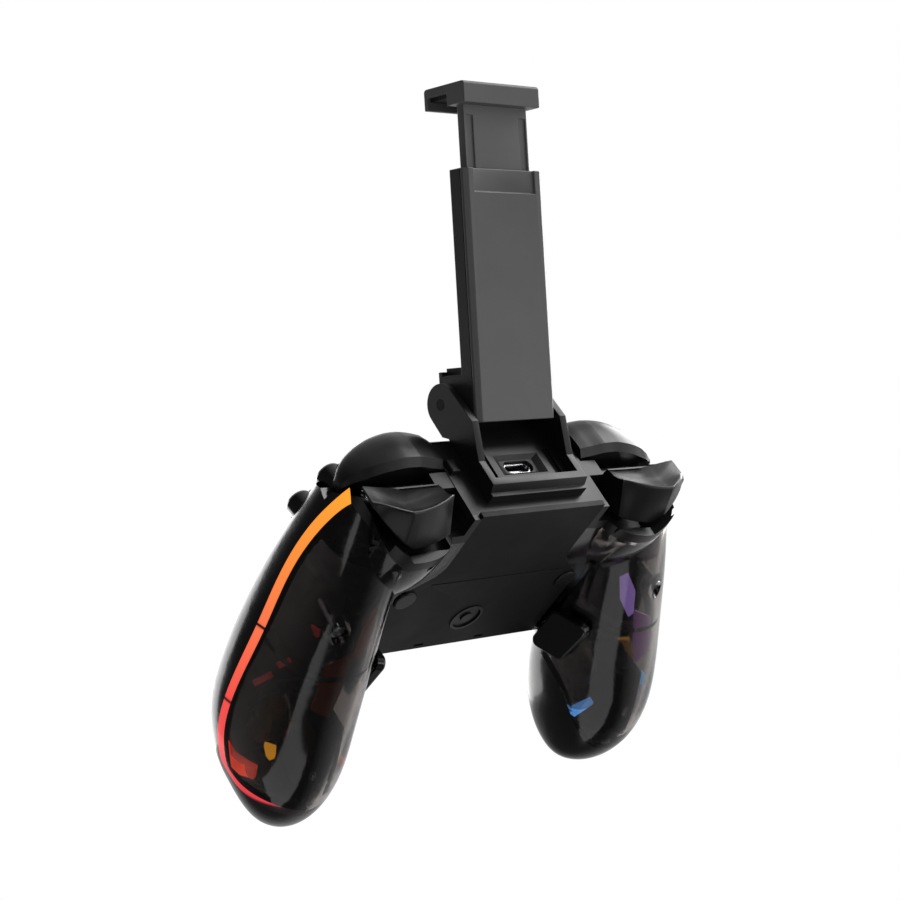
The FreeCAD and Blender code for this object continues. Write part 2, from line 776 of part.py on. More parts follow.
feature("shoulder_deck", deck_shape())
port = rounded_slot(USB_HALF_WIDTH, USB_HALF_HEIGHT, 24.0, size("BodyFront"))
port = port.cut(rounded_slot(USB_HALF_WIDTH - 0.4, USB_HALF_HEIGHT - 0.4, 25.0, 40.0))
port = port.fuse(box(-3.2, 3.2, 25.0, 31.0, USB_HEIGHT - 0.35, USB_HEIGHT + 0.35))
feature("usb_port", port)
for side, name in ((1, "right"), (-1, "left")):
    start = deck_edge + 1.7
    pin = post(size("PinRadius"), trigger_axis() + Vector(start, 0, 0), X_AXIS, TRIGGER_PIN_END - start)
    feature(f"trigger_pin_{name}", sided(pin, side))
    pin = post(size("PinRadius"), bumper_pin_spot(BUMPER_PIN_FOOT), Z_AXIS, 8.2)
    feature(f"bumper_pin_{name}", sided(pin, side))
    feature(f"bumper_{name}", sided(bumper_shape(), side))
    feature(f"trigger_{name}", sided(trigger_shape(), side))


# Back paddles

def paddle_shape():
    half = size("PaddleThickness") / 2
    plate = side_prism(PADDLE_PLAN, -half, half)
    plate = rounded(plate, PADDLE_CORNER, lambda middle, edge: abs(middle.x) < 0.01)
    plate = rounded(plate, 0.8, lambda middle, edge: middle.x < 0.01 - half)
    plate.translate(Vector(0.1 - size("PaddleTravel"), 0, 0))
    return moved(plate, paddle_frame).fuse(paddle_boss(0.0)).removeSplitter()


paddle = paddle_shape()
feature("paddle_right", paddle)
feature("paddle_left", mirrored(paddle))


# Screws, rumble motors, their brackets and their weights

def screw_shape():
    across, along = SCREW_SPOT
    head = post(size("ScrewHeadRadius"), Vector(across, along, -9.0), Z_AXIS, 1.6)
    slot = box(across - 1.2, across + 1.2, along - 0.3, along + 0.3, -9.0, -8.3)
    shaft = post(size("ScrewRadius"), Vector(across, along, -7.4), Z_AXIS, 9.0)
    return head.cut(slot).fuse(shaft)


MOTOR_SPOT = Vector(49.0, -31.0, -8.5)


def motor_shape():
    body = post(size("MotorRadius"), MOTOR_SPOT, X_AXIS, size("MotorLength"))
    body = rounded(body, 0.8, lambda middle, edge: True)
    shaft = post(1.0, MOTOR_SPOT + Vector(size("MotorLength"), 0, 0), X_AXIS, size("WeightLength") + 1.0)
    return body.fuse(shaft)


def weight_shape():
    start = MOTOR_SPOT + Vector(size("MotorLength") + 0.5, 0, 0)
    disc = post(size("WeightRadius"), start, X_AXIS, size("WeightLength"))
    half = disc.common(box(0, FAR, -FAR, FAR, -FAR, MOTOR_SPOT.z + 0.8))
    hub = post(2.4, start, X_AXIS, size("WeightLength"))
    bore = post(1.0 + pin_gap, start - Vector(1, 0, 0), X_AXIS, size("WeightLength") + 2.0)
    return half.fuse(hub).cut(bore)


def bracket_shape():
    x0 = MOTOR_SPOT.x + 1.5
    x1 = MOTOR_SPOT.x + size("MotorLength") - 1.5
    along = MOTOR_SPOT.y
    saddle = box(x0, x1, along - 9.5, along + 9.5, -40.0, MOTOR_SPOT.z).common(grip_hollow)
    saddle = saddle.cut(post(size("MotorRadius"), MOTOR_SPOT - Vector(5, 0, 0), X_AXIS, 30.0))
    arch = box(x0 + 2.2, x1 - 2.2, along - FAR, along + FAR, -40.0, MOTOR_SPOT.z - size("MotorRadius") - 1.4)
    bridge = box(x0, x1, along - 9.4, along + 9.4, -20.0, -16.6).common(grip_hollow)
    bridge = bridge.cut(post(size("MotorRadius"), MOTOR_SPOT, X_AXIS, 20.0))
    return one_solid(saddle.cut(arch).fuse(bridge))


grip_hollow = grip_inner()
screw = screw_shape()
motor = motor_shape()
weight = weight_shape()
bracket = bracket_shape()
for side, name in ((1, "right"), (-1, "left")):
    feature(f"grip_screw_{name}", sided(screw, side))
    feature(f"rumble_motor_{name}", sided(motor, side))
    feature(f"rumble_weight_{name}", sided(weight, side))
    feature(f"motor_bracket_{name}", sided(bracket, side))


# Circuit board and battery, parallel to the face and to the back

board_frame = face_frame(0.0, 2.0)


def board_shape():
    top = -size("BoardTop")
    outline = [(-41.0, 10.5), (-22.0, 11.0), (-22.0, 20.0), (22.0, 20.0), (22.0, 11.0), (41.0, 10.5),
               (44.0, 0.0), (42.0, -16.0), (20.0, -22.0), (-20.0, -22.0), (-42.0, -16.0), (-44.0, 0.0)]
    return plan_prism(outline, top - size("BoardThickness"), top)


feature("main_board", board_shape(), board_frame)
battery = document.addObject("Part::Box", "battery")
battery.setExpression("Length", "Sizes.BatteryLength")
battery.setExpression("Width", "Sizes.BatteryWidth")
battery.setExpression("Height", "Sizes.BatteryThickness")
battery_corner = Vector(-size("BatteryLength") / 2, 6.0, size("PanelThickness"))
keep(battery, "battery", Placement(battery_corner, Rotation()))


# Thumb sticks: base on the board, carrier that clicks down, yoke and stick on crossed pivots

BASE_HALF = 7.6
CARRIER_HALF = 6.5
CARRIER_INNER = 5.2
YOKE_HALF = 4.5
YOKE_INNER = 3.2
PIVOT_RADIUS = 0.9


def square_ring(outer_half, inner_half, z0, z1):
    ring = box(-outer_half, outer_half, -outer_half, outer_half, z0, z1)
    return ring.cut(box(-inner_half, inner_half, -inner_half, inner_half, z0 - 1, z1 + 1))


def stick_base(pivot, floor):
    """Open square cup under the carrier; it stands on the board."""
    walls = square_ring(BASE_HALF, CARRIER_HALF + 0.15, floor, pivot + 1.2)
    bottom = box(-BASE_HALF, BASE_HALF, -BASE_HALF, BASE_HALF, floor, floor + 1.0)
    return walls.fuse(bottom)


def stick_carrier(pivot):
    ring = square_ring(CARRIER_HALF, CARRIER_INNER, pivot - 2.2, pivot + 2.2)
    return ring.cut(post(PIVOT_RADIUS + pin_gap, Vector(-20, 0, pivot), X_AXIS, 40.0))


def stick_yoke(pivot):
    ring = square_ring(YOKE_HALF, YOKE_INNER, pivot - 1.4, pivot + 1.4)
    ring = ring.cut(post(PIVOT_RADIUS + pin_gap, Vector(0, -20, pivot), Y_AXIS, 40.0))
    pins = post(PIVOT_RADIUS, Vector(-CARRIER_HALF + 0.3, 0, pivot), X_AXIS, 2 * CARRIER_HALF - 0.6)
    pins = pins.cut(box(-YOKE_INNER, YOKE_INNER, -5, 5, -FAR, FAR))
    return ring.fuse(pins)


def stick_stem(pivot, top):
    stem = post(2.0, Vector(0, 0, pivot - 1.6), Z_AXIS, top - pivot + 1.6)
    pins = post(PIVOT_RADIUS, Vector(0, -YOKE_HALF + 0.2, pivot), Y_AXIS, 2 * YOKE_HALF - 0.4)
    return stem.fuse(pins)


def stick_cap(pivot):
    top = size("StickCapTop")
    radius = size("StickCapRadius")
    profile = [
        (0.0, top - 1.6), (radius - 2.6, top - 1.4), (radius - 1.2, top), (radius - 0.3, top - 0.4),
        (radius, top - 1.4), (radius, top - 3.2), (radius - 1.2, top - 4.2), (4.0, top - 5.4),
        (3.4, top - 9.0), (0.0, top - 9.0),
    ]
    wire = Part.makePolygon([Vector(r, 0, z) for r, z in profile + profile[:1]])
    cap = Part.Face(wire).revolve(ORIGIN, Z_AXIS, 360.0)
    dome = Part.makeSphere(size("StickDome"), Vector(0, 0, pivot))
    dome = dome.cut(Part.makeSphere(size("StickDome") - 0.9, Vector(0, 0, pivot)))
    dome = dome.common(box(-FAR, FAR, -FAR, FAR, pivot + 7.2, FAR))
    stem = stick_stem(pivot, top - 5.0)
    return cap.multiFuse([dome, stem])


def stick_ring():
    tube = post(size("StickHole"), Vector(0, 0, -2.2), Z_AXIS, 3.4)
    tube = rounded(tube, 0.8, lambda middle, edge: middle.z > 1.0)
    return tube.cut(post(size("StickRing"), Vector(0, 0, -5), Z_AXIS, 12.0))


def board_below(frame):
    """Height of the board's top under a control, in that control's own frame."""
    across = board_frame.multVec(Vector(0, 0, -size("BoardTop")))
    return frame.inverse().multVec(across).z


for name, spot in (("right", RIGHT_STICK), ("left", LEFT_STICK)):
    frame = face_frame(*spot)
    pivot = -size("StickPivot")
    feature(f"stick_base_{name}", stick_base(pivot, board_below(frame)), frame)
    feature(f"stick_carrier_{name}", stick_carrier(pivot), frame)
    feature(f"stick_yoke_{name}", stick_yoke(pivot), frame)
    feature(f"stick_{name}", stick_cap(pivot), frame)
    feature(f"stick_ring_{name}", stick_ring(), frame)


# Direction pad on the same crossed pivots

cross_frame = face_frame(*CROSS_PAD)


def cross_base():
    pivot = -size("CrossPivot")
    ring = square_ring(CARRIER_HALF, CARRIER_INNER, pivot - 2.2, pivot + 1.6)
    ring = ring.cut(post(PIVOT_RADIUS + pin_gap, Vector(-20, 0, pivot), X_AXIS, 40.0))
    floor = board_below(cross_frame)
    foot = square_ring(CARRIER_HALF, CARRIER_INNER, floor, pivot - 2.2)
    return ring.fuse(foot).removeSplitter()


def cross_cap():
    pivot = -size("CrossPivot")
    top = cross_solid(size("CrossReach"), size("CrossWidth"), -2.4, size("CrossRise"))
    top = rounded(top, 0.7, lambda middle, edge: middle.z > size("CrossRise") - 0.01)
    dish = Part.makeSphere(14.0, Vector(0, 0, size("CrossRise") + 13.2))
    plate = post(9.4, Vector(0, 0, -4.6), Z_AXIS, 1.2)
    neck = post(5.0, Vector(0, 0, -4.0), Z_AXIS, 2.0)
    return top.cut(dish).multiFuse([plate, neck, stick_stem(pivot, -4.0)])


feature("cross_base", cross_base(), cross_frame)
feature("cross_yoke", stick_yoke(-size("CrossPivot")), cross_frame)
feature("cross_pad", cross_cap(), cross_frame)


# Push buttons on the face

def push_button(label, frame, radius_alias, rise, depth, edge):
    """Round button turned from one outline, with a soft edge and a slightly domed top."""
    body = document.addObject("PartDesign::Body", label)
    sketch = sketch_on(body, "XZ_Plane", f"{label}_outline")
    radius = size(radius_alias)
    top = rise + depth
    add_outline(sketch, [(0.0, 0.0), (radius, 0.0), (radius, top - edge), (radius - 0.3 * edge, top - 0.3 * edge),
                         (radius - edge, top), (0.0, top + 0.15)])
    turned = body.newObject("PartDesign::Revolution", f"{label}_turned")
    turned.Profile = sketch
    turned.ReferenceAxis = (sketch, ["V_Axis"])
    turned.Angle = 360.0
    keep(body, label, frame.multiply(Placement(Vector(0, 0, -depth), Rotation())))


for label, across, along in button_spots():
    push_button(label, button_frame(across, along), "ButtonRadius", size("ButtonRise"), BUTTON_DEPTH, 0.9)
for label, across, along in SMALL_BUTTONS:
    push_button(label, face_frame(across, along), "SmallButtonRadius", size("SmallButtonRise"),
                SMALL_BUTTON_DEPTH, 0.4)


# Clip base: tray on the shoulder deck with two round cheeks

def hinge_centre():
    return Vector(0, size("HingeAlong"), size("HingeHeight"))


CLIP_SIDE = [(32.5, 4.8), (35.3, 4.8), (35.3, 6.0), (37.7, 6.9), (37.6, 15.0), (43.0, 24.4), (42.7, 30.0)]
TRAY_FLOOR = 34.6
WALL_TOP = 32.4
KNUCKLE_RADIUS = 5.0


def clip_base():
    half = size("ClipHalfWidth")
    centre = hinge_centre()
    radius = size("HingeRadius")
    front = Vector(-half, centre.y + radius, centre.z)
    back = Vector(-half, centre.y - radius, centre.z)
    crown = Vector(-half, centre.y, centre.z + radius)
    lower = [Vector(-half, y, z) for y, z in CLIP_SIDE]
    heel = [Vector(-half, centre.y - radius, 29.4), Vector(-half, size("BodyFront"), 27.4)]
    edges = [Part.LineSegment(a, b).toShape() for a, b in zip(lower, lower[1:] + [front])]
    edges.append(Part.Arc(front, crown, back).toShape())
    tail = [back] + heel + [lower[0]]
    edges += [Part.LineSegment(a, b).toShape() for a, b in zip(tail, tail[1:])]
    block = Part.Face(Part.Wire(edges)).extrude(Vector(2 * half, 0, 0))
    inside = half - size("CheekThickness")
    recess = box(-inside, inside, TRAY_FLOOR, 60.0, 9.2, 60.0)
    above = box(-inside, inside, 20.0, 60.0, WALL_TOP, 60.0)
    knuckle_room = post(KNUCKLE_RADIUS + 0.4, centre - Vector(inside, 0, 0), X_AXIS, 2 * inside)
    funnel_wires = []
    for y, w, h in ((TRAY_FLOOR, 8.0, 3.4), (33.4, 6.0, 2.3)):
        funnel_wires.append(Part.makePolygon([Vector(-w, y, USB_HEIGHT - h), Vector(w, y, USB_HEIGHT - h),
                                              Vector(w, y, USB_HEIGHT + h), Vector(-w, y, USB_HEIGHT + h),
                                              Vector(-w, y, USB_HEIGHT - h)]))
    funnel = Part.makeLoft(funnel_wires, True, True)
    hole = rounded_slot(USB_HALF_WIDTH + 0.4, USB_HALF_HEIGHT + 0.3, 30.0, 40.0)
    bore = post(size("HingePinRadius"), centre - Vector(half + 1.0, 0, 0), X_AXIS, 2 * half + 2.0)
    slots = [box(x - 1.2, x + 1.2, TRAY_FLOOR - 0.9, 40.0, 10.6, 20.0) for x in (-11.6, 11.6)]
    return block.cut([recess, above, knuckle_room, funnel, hole, bore] + slots)


feature("clip_base", clip_base())
half_width = size("ClipHalfWidth")
pin_frame = Placement(hinge_centre() - Vector(half_width, 0, 0), Rotation(Y_AXIS, 90.0))
cylinder("hinge_pin", "HingePinRadius", 2 * half_width, pin_frame)
latch = box(deck_edge - 3.7, deck_edge - 0.9, size("BodyFront"), size("BodyFront") + 1.4, 15.4, 19.6)
feature("latch_block", rounded(latch, 0.5, lambda middle, edge: middle.y > size("BodyFront") + 1.3))


# Phone clip, drawn in the arm's own frame: X across, Y up the arm, Z towards the phone

def arm_prism(points, x0, x1):
    wire = Part.makePolygon([Vector(x0, y, z) for y, z in points + points[:1]])
    return Part.Face(wire).extrude(Vector(x1 - x0, 0, 0))


def slot_front():
    return -size("ArmFront") + size("SlotDepth")


def arm_body():
    half = size("ArmHalfWidth")
    back = -size("ArmBack") + size("CoverThickness")
    front = -size("ArmFront")
    jaw = size("LowerJawBottom")
    lip = slot_front()
    spine = box(-half, half, -4.8, size("ArmTop"), back, front)
    root = arm_prism([(-4.6, -9.0), (jaw, -9.0), (jaw, 0.0), (-3.6, 0.0)], -half, half)
    knuckle = post(KNUCKLE_RADIUS, Vector(-half, 0, 0), X_AXIS, 2 * half)
    shelf = box(-half, half, jaw - 0.6, jaw + 1.7, -8.0, lip + 1.5)
    rim = box(-half, half, jaw, jaw + 2.8, lip, lip + 1.5)
    solid = spine.multiFuse([root, knuckle, shelf, rim])
    slide = size("SliderHalfWidth") + 0.3
    depth = back + size("SliderThickness") + 0.5
    channel = box(-slide, slide, 8.0, FAR, -FAR, depth)
    bore = post(size("HingePinRadius") + pin_gap, Vector(-40, 0, 0), X_AXIS, 80.0)
    return solid.cut([channel, bore]).removeSplitter()


def arm_cover():
    body = document.addObject("PartDesign::Body", "arm_cover")
    half = size("ArmHalfWidth")
    section = sketch_on(body, "XY_Plane", "cover_outline")
    add_outline(section, [(-half, -5.3), (half, -5.3), (half, size("ArmTop")), (-half, size("ArmTop"))])
    pad_feature(body, section, "cover_plate", length_alias="CoverThickness")
    band = sketch_on(body, "XY_Plane", "cover_band")
    notch = 10.8
    add_outline(band, [(-notch, size("ArmTop") - 6.3), (notch, size("ArmTop") - 6.3),
                       (notch, size("ArmTop") + 1.0), (-notch, size("ArmTop") + 1.0)])
    pocket_feature(body, band, "cover_notch", 1.4, side_type="Symmetric")
    document.recompute()
    long_edges = [index for index, edge in enumerate(body.Shape.Edges)
                  if edge.Length > 40.0 and edge.BoundBox.ZMax < 0.1]
    plate = body.Tip
    bevel = body.newObject("PartDesign::Chamfer", "cover_edges")
    bevel.Base = (plate, [f"Edge{index + 1}" for index in long_edges])
    bevel.Size = 1.2
    keep(body, "arm_cover", arm_frame.multiply(Placement(Vector(0, 0, -size("ArmBack")), Rotation())))


def slider_shape():
    half = size("SliderHalfWidth")
    back = -size("ArmBack") + size("CoverThickness") + 0.2
    front = back + size("SliderThickness")
    top = size("JawTop")
    jaw_half = size("JawHalfWidth")
    lip = slot_front()
    thick = size("JawThickness")
    blade = box(-half, half, size("SliderTail"), top - thick, back, front)
    grooves = [box(x - 1.2, x + 1.2, size("SliderTail") + 4, top - thick - 6, back - 1, back + 0.5)
               for x in (-9.4, 9.4)]
    hook = arm_prism([(top - 5.8, -12.9), (top, -12.9), (top, lip + 1.4), (top - 5.8, lip + 1.4),
                      (top - 5.8, lip), (top - thick, lip), (top - thick, -size("ArmFront")),
                      (top - 5.8, -size("ArmFront"))], -jaw_half, jaw_half)
    hook = rounded(hook, 1.0, lambda middle, edge: edge.Length > 20 and middle.y > top - 0.1)
    return blade.cut(grooves).fuse(hook).removeSplitter()


def jaw_pad(v0, v1):
    half = size("ArmHalfWidth") - 1.6
    return box(-half, half, v0, v1, -size("ArmFront") + 0.1, slot_front() - 0.1)


feature("arm_body", arm_body(), arm_frame)
arm_cover()
feature("slider", slider_shape(), arm_frame)
shelf_top = size("LowerJawBottom") + 1.7
feature("lower_jaw_pad", jaw_pad(shelf_top, shelf_top + 2.0), arm_frame)
jaw_face = size("JawTop") - size("JawThickness")
feature("upper_jaw_pad", jaw_pad(jaw_face - size("PadThickness"), jaw_face), arm_frame)


# Rest position: the pad lies on its grips and on the housings of its triggers

document.recompute()


def lowest(points, tilt):
    return min(z * math.cos(tilt) - y * math.sin(tilt) for _, y, z in points)


resting = [tuple(vertex) for thing, _ in nodes if thing.Label == "back_grip_right"
           for vertex in thing.Shape.tessellate(0.2)[0]]
front_points = [vertex for vertex in resting if vertex[1] > 5.0]
rear_points = [vertex for vertex in resting if vertex[1] < -20.0]
low_tilt = 0.0
high_tilt = math.radians(45.0)
for _ in range(50):
    tilt = (low_tilt + high_tilt) / 2
    if lowest(front_points, tilt) > lowest(rear_points, tilt):
        low_tilt = tilt
    else:
        high_tilt = tilt
lift = -lowest(resting, tilt)
rest_turn = Placement(Vector(0, 0, lift), Rotation(X_AXIS, -math.degrees(tilt)))

turned_box = FreeCAD.BoundBox()
for thing, local in nodes:
    shape = thing.Shape.copy()
    shape.Placement = rest_turn.multiply(local)
    turned_box.add(shape.optimalBoundingBox(False, False))
shift = Vector(-turned_box.Center.x, -turned_box.Center.y, 0)
rest = Placement(shift, Rotation()).multiply(rest_turn)
for thing, local in nodes:
    thing.Placement = rest.multiply(local)
document.recompute()
print("rest tilt", math.degrees(tilt), "base", tuple(rest.Base), "box", turned_box)


# Checks, then one STEP file for each piece

os.makedirs("parts", exist_ok=True)
failed = [item.Name for item in document.Objects if "Invalid" in item.State or "Error" in item.State]
failed += [thing.Label for thing, _ in nodes if thing.Shape.isNull() or not thing.Shape.isValid()]
if failed:
    raise RuntimeError(f"these pieces failed: {failed}")
for thing, _ in nodes:
    thing.Shape.exportStep(f"parts/{thing.Label}.step")
    print(thing.Label, len(thing.Shape.Solids), round(thing.Shape.Volume, 1))
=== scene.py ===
import json
import math

import bmesh
import bpy
from mathutils import Matrix, Vector
from mathutils.bvhtree import BVHTree


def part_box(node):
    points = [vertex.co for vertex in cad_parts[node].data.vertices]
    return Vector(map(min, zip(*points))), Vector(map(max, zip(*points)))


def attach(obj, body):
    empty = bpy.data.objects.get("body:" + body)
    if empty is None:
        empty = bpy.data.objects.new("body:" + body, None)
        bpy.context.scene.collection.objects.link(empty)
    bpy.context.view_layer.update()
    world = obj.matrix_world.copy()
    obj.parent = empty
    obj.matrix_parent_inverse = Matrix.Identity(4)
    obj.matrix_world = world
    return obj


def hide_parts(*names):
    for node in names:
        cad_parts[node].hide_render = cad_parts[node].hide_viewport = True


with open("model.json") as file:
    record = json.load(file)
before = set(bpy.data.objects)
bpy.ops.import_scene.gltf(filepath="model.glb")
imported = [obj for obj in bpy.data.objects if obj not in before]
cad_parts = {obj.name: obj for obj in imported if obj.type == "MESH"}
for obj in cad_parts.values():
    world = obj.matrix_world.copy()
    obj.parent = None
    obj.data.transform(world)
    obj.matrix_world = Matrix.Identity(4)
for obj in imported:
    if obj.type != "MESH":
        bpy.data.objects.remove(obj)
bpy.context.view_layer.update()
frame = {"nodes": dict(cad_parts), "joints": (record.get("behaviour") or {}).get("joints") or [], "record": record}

# A gamepad with smoked see-through grips, lit from inside, and a folding clip on its shoulder.
# The CAD nodes give every main shape. This file gives them their finishes, rounds their moulded edges,
# draws the bumpers and triggers with softer crowns, and adds what is too small or too thin for the source:
# knurls of the sticks, ribs and plates inside the grips, and the windows of their light guides.

nodes = frame["nodes"]
joints = {joint["name"]: joint for joint in frame["joints"]}
scene = bpy.context.scene
MM = 0.001
SIDES = (("right", 1.0), ("left", -1.0))


# Axes of the pad and of the clip's arm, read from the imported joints

ARM_ANGLE = math.radians(50.0)
HINGE_SPOT = Vector((0.0, 36.6, 36.0)) * MM
ACROSS = Vector((1.0, 0.0, 0.0))


def axes(origin, up_arm):
    """Matrix of a frame with X across, Y along up_arm and Z out of both."""
    along = Vector(up_arm).normalized()
    out = ACROSS.cross(along)
    turn = Matrix((ACROSS, along, out)).transposed().to_4x4()
    return Matrix.Translation(Vector(origin)) @ turn


arm = axes(joints["clip_fold"]["pos_m"], joints["clip_slide"]["axis"])
pad = arm @ Matrix.Rotation(-ARM_ANGLE, 4, "X") @ Matrix.Translation(-HINGE_SPOT)


def at(base, x, y, z):
    """Point given in millimetres in a frame's own axes, in the row frame."""
    return base @ (Vector((x, y, z)) * MM)


def stick_frame(name, depth):
    """Frame on the face over a thumb stick: its pivot lies depth below it."""
    joint = joints[f"stick_tilt_forward_{name}"]
    along = Vector(joints[f"stick_tilt_across_{name}"]["axis"])
    pivot = axes(joint["pos_m"], along)
    return pivot @ Matrix.Translation((0.0, 0.0, depth * MM))


# Colours and nodes

def srgb(text):
    """Linear colour of an sRGB hex value."""
    parts = [int(text[i:i + 2], 16) / 255.0 for i in (1, 3, 5)]
    linear = [c / 12.92 if c <= 0.04045 else ((c + 0.055) / 1.055) ** 2.4 for c in parts]
    return (*linear, 1.0)


def add(tree, kind, values=None, **settings):
    """Adds one node: settings are its own properties, values its inputs, each a number or a linked output."""
    made = tree.nodes.new(kind)
    for name, value in settings.items():
        setattr(made, name, value)
    for name, value in (values or {}).items():
        socket = made.inputs[name]
        if isinstance(value, bpy.types.NodeSocket):
            tree.links.new(value, socket)
        else:
            socket.default_value = value
    return made


def material(name):
    made = bpy.data.materials.new(name)
    made.use_nodes = True
    made.node_tree.nodes.clear()
    return made, made.node_tree


def finish_with(tree, shader):
    add(tree, "ShaderNodeOutputMaterial", {"Surface": shader})


def fill_ramp(ramp, stops):
    """Sets a colour ramp's stops: place and colour."""
    elements = ramp.color_ramp.elements
    while len(elements) > 1:
        elements.remove(elements[-1])
    elements[0].position, elements[0].color = stops[0]
    for place, colour in stops[1:]:
        elements.new(place).color = colour


# Colour sockets of a Mix node, which share their names with its other sockets
MIX_A = 6
MIX_B = 7
MIX_RESULT = 2

# Values between which nearly all of a noise lies
NOISE_LOW = 0.3
NOISE_HIGH = 0.7

# Moulded plastic: waves per metre of its uneven cooling, and what that does to its tone and its gloss
COOLING_WAVES = 55.0
UNEVEN_TONE = 0.1
UNEVEN_GLOSS = 0.12
FLOW_STRETCH = (1.0, 0.02, 0.02)

# The same for the gloss of polished plastic and of metal
UNEVEN_POLISH = 0.2
UNEVEN_METAL = 0.3

# Other patterns, in waves per metre: ripples of a polished skin, clouds in dyed acrylic, tracks of a board,
# and frosting of a light guide, which is drawn coarser than its real tenth of a millimetre
CLEAR_RIPPLES = 60.0
POLISH_RIPPLES = 70.0
ACRYLIC_CLOUDS = 220.0
BOARD_TRACKS = 260.0
FROSTING = 900.0

# Refractive indices
ABS_IOR = 1.5
POLYCARBONATE_IOR = 1.58
ACRYLIC_IOR = 1.49


def moulded(name, colour, roughness, grain, depth, streaks=0.0, specular=0.5):
    """Moulded plastic: grain of a given size and depth in millimetres, and a gloss that is a little uneven.

    Real grain is about a tenth of a millimetre: it is drawn coarser, so that it isn't lost in the picture.
    """
    made, tree = material(name)
    place = add(tree, "ShaderNodeTexCoord").outputs["Object"]
    cloud = add(tree, "ShaderNodeTexNoise", {"Vector": place, "Scale": COOLING_WAVES, "Detail": 3.0})
    pits = add(tree, "ShaderNodeTexNoise", {"Vector": place, "Scale": 1.0 / (grain * MM), "Detail": 2.0})
    shade = add(tree, "ShaderNodeMapRange", {
        "Value": cloud.outputs["Fac"], "From Min": NOISE_LOW, "From Max": NOISE_HIGH,
        "To Min": 1.0 - UNEVEN_TONE, "To Max": 1.0 + UNEVEN_TONE})
    tone = add(tree, "ShaderNodeMix", {0: 1.0, MIX_A: srgb(colour), MIX_B: shade.outputs["Result"]},
               data_type="RGBA", blend_type="MULTIPLY")
    gloss = add(tree, "ShaderNodeMapRange", {
        "Value": cloud.outputs["Fac"], "From Min": NOISE_LOW, "From Max": NOISE_HIGH,
        "To Min": roughness * (1.0 - UNEVEN_GLOSS), "To Max": roughness * (1.0 + UNEVEN_GLOSS)})
    height = pits.outputs["Fac"]
    if streaks:
        wide = add(tree, "ShaderNodeMapping", {"Vector": place, "Scale": FLOW_STRETCH}).outputs["Vector"]
        lines = add(tree, "ShaderNodeTexNoise", {
            "Vector": wide, "Scale": 1.0 / (streaks * MM), "Detail": 2.0})
        both = add(tree, "ShaderNodeMath", {0: height, 1: lines.outputs["Fac"]}, operation="ADD")
        height = both.outputs["Value"]
    bump = add(tree, "ShaderNodeBump", {"Height": height, "Distance": depth * MM, "Strength": 1.0})
    shader = add(tree, "ShaderNodeBsdfPrincipled", {
        "Base Color": tone.outputs[MIX_RESULT], "Roughness": gloss.outputs["Result"], "IOR": ABS_IOR,
        "Specular IOR Level": specular, "Normal": bump.outputs["Normal"]})
    finish_with(tree, shader.outputs["BSDF"])
    return made


def smoked(name, tint, roughness):
    """Clear polycarbonate with smoke pigment: it is see-through, with a hard polished skin."""
    made, tree = material(name)
    place = add(tree, "ShaderNodeTexCoord").outputs["Object"]
    wave = add(tree, "ShaderNodeTexNoise", {
        "Vector": place, "Scale": CLEAR_RIPPLES, "Detail": 1.0}).outputs["Fac"]
    bump = add(tree, "ShaderNodeBump", {"Height": wave, "Distance": 0.12 * MM, "Strength": 0.35})
    shader = add(tree, "ShaderNodeBsdfPrincipled", {
        "Base Color": srgb(tint), "Roughness": roughness, "IOR": POLYCARBONATE_IOR,
        "Transmission Weight": 1.0, "Normal": bump.outputs["Normal"]})
    finish_with(tree, shader.outputs["BSDF"])
    return made


def polished(name, colour, roughness, coat):
    """Polished plastic: nearly black, with a glossy skin and faint ripples left by the mould."""
    made, tree = material(name)
    place = add(tree, "ShaderNodeTexCoord").outputs["Object"]
    wave = add(tree, "ShaderNodeTexNoise", {
        "Vector": place, "Scale": POLISH_RIPPLES, "Detail": 2.0}).outputs["Fac"]
    bump = add(tree, "ShaderNodeBump", {"Height": wave, "Distance": 0.1 * MM, "Strength": 0.4})
    gloss = add(tree, "ShaderNodeMapRange", {
        "Value": wave, "From Min": NOISE_LOW, "From Max": NOISE_HIGH,
        "To Min": roughness * (1.0 - UNEVEN_POLISH), "To Max": roughness * (1.0 + UNEVEN_POLISH)})
    shader = add(tree, "ShaderNodeBsdfPrincipled", {
        "Base Color": srgb(colour), "Roughness": gloss.outputs["Result"], "IOR": ABS_IOR,
        "Coat Weight": coat, "Coat Roughness": 0.03, "Normal": bump.outputs["Normal"]})
    finish_with(tree, shader.outputs["BSDF"])
    return made


def glowing(name, stops, strength, low, high):
    """Frosted light guide: acrylic lit from its end, its colour changing along the grip."""
    made, tree = material(name)
    place = add(tree, "ShaderNodeTexCoord").outputs["Object"]
    along = add(tree, "ShaderNodeSeparateXYZ", {"Vector": place}).outputs["Y"]
    share = add(tree, "ShaderNodeMapRange", {"Value": along, "From Min": low, "From Max": high})
    ramp = add(tree, "ShaderNodeValToRGB", {"Fac": share.outputs["Result"]})
    fill_ramp(ramp, [(spot, srgb(colour)) for spot, colour in stops])
    speck = add(tree, "ShaderNodeTexNoise", {
        "Vector": place, "Scale": FROSTING, "Detail": 2.0}).outputs["Fac"]
    bump = add(tree, "ShaderNodeBump", {"Height": speck, "Distance": 0.03 * MM, "Strength": 0.5})
    shader = add(tree, "ShaderNodeBsdfPrincipled", {
        "Base Color": ramp.outputs["Color"], "Roughness": 0.25, "IOR": ACRYLIC_IOR,
        "Emission Color": ramp.outputs["Color"], "Emission Strength": strength,
        "Normal": bump.outputs["Normal"]})
    finish_with(tree, shader.outputs["BSDF"])
    return made


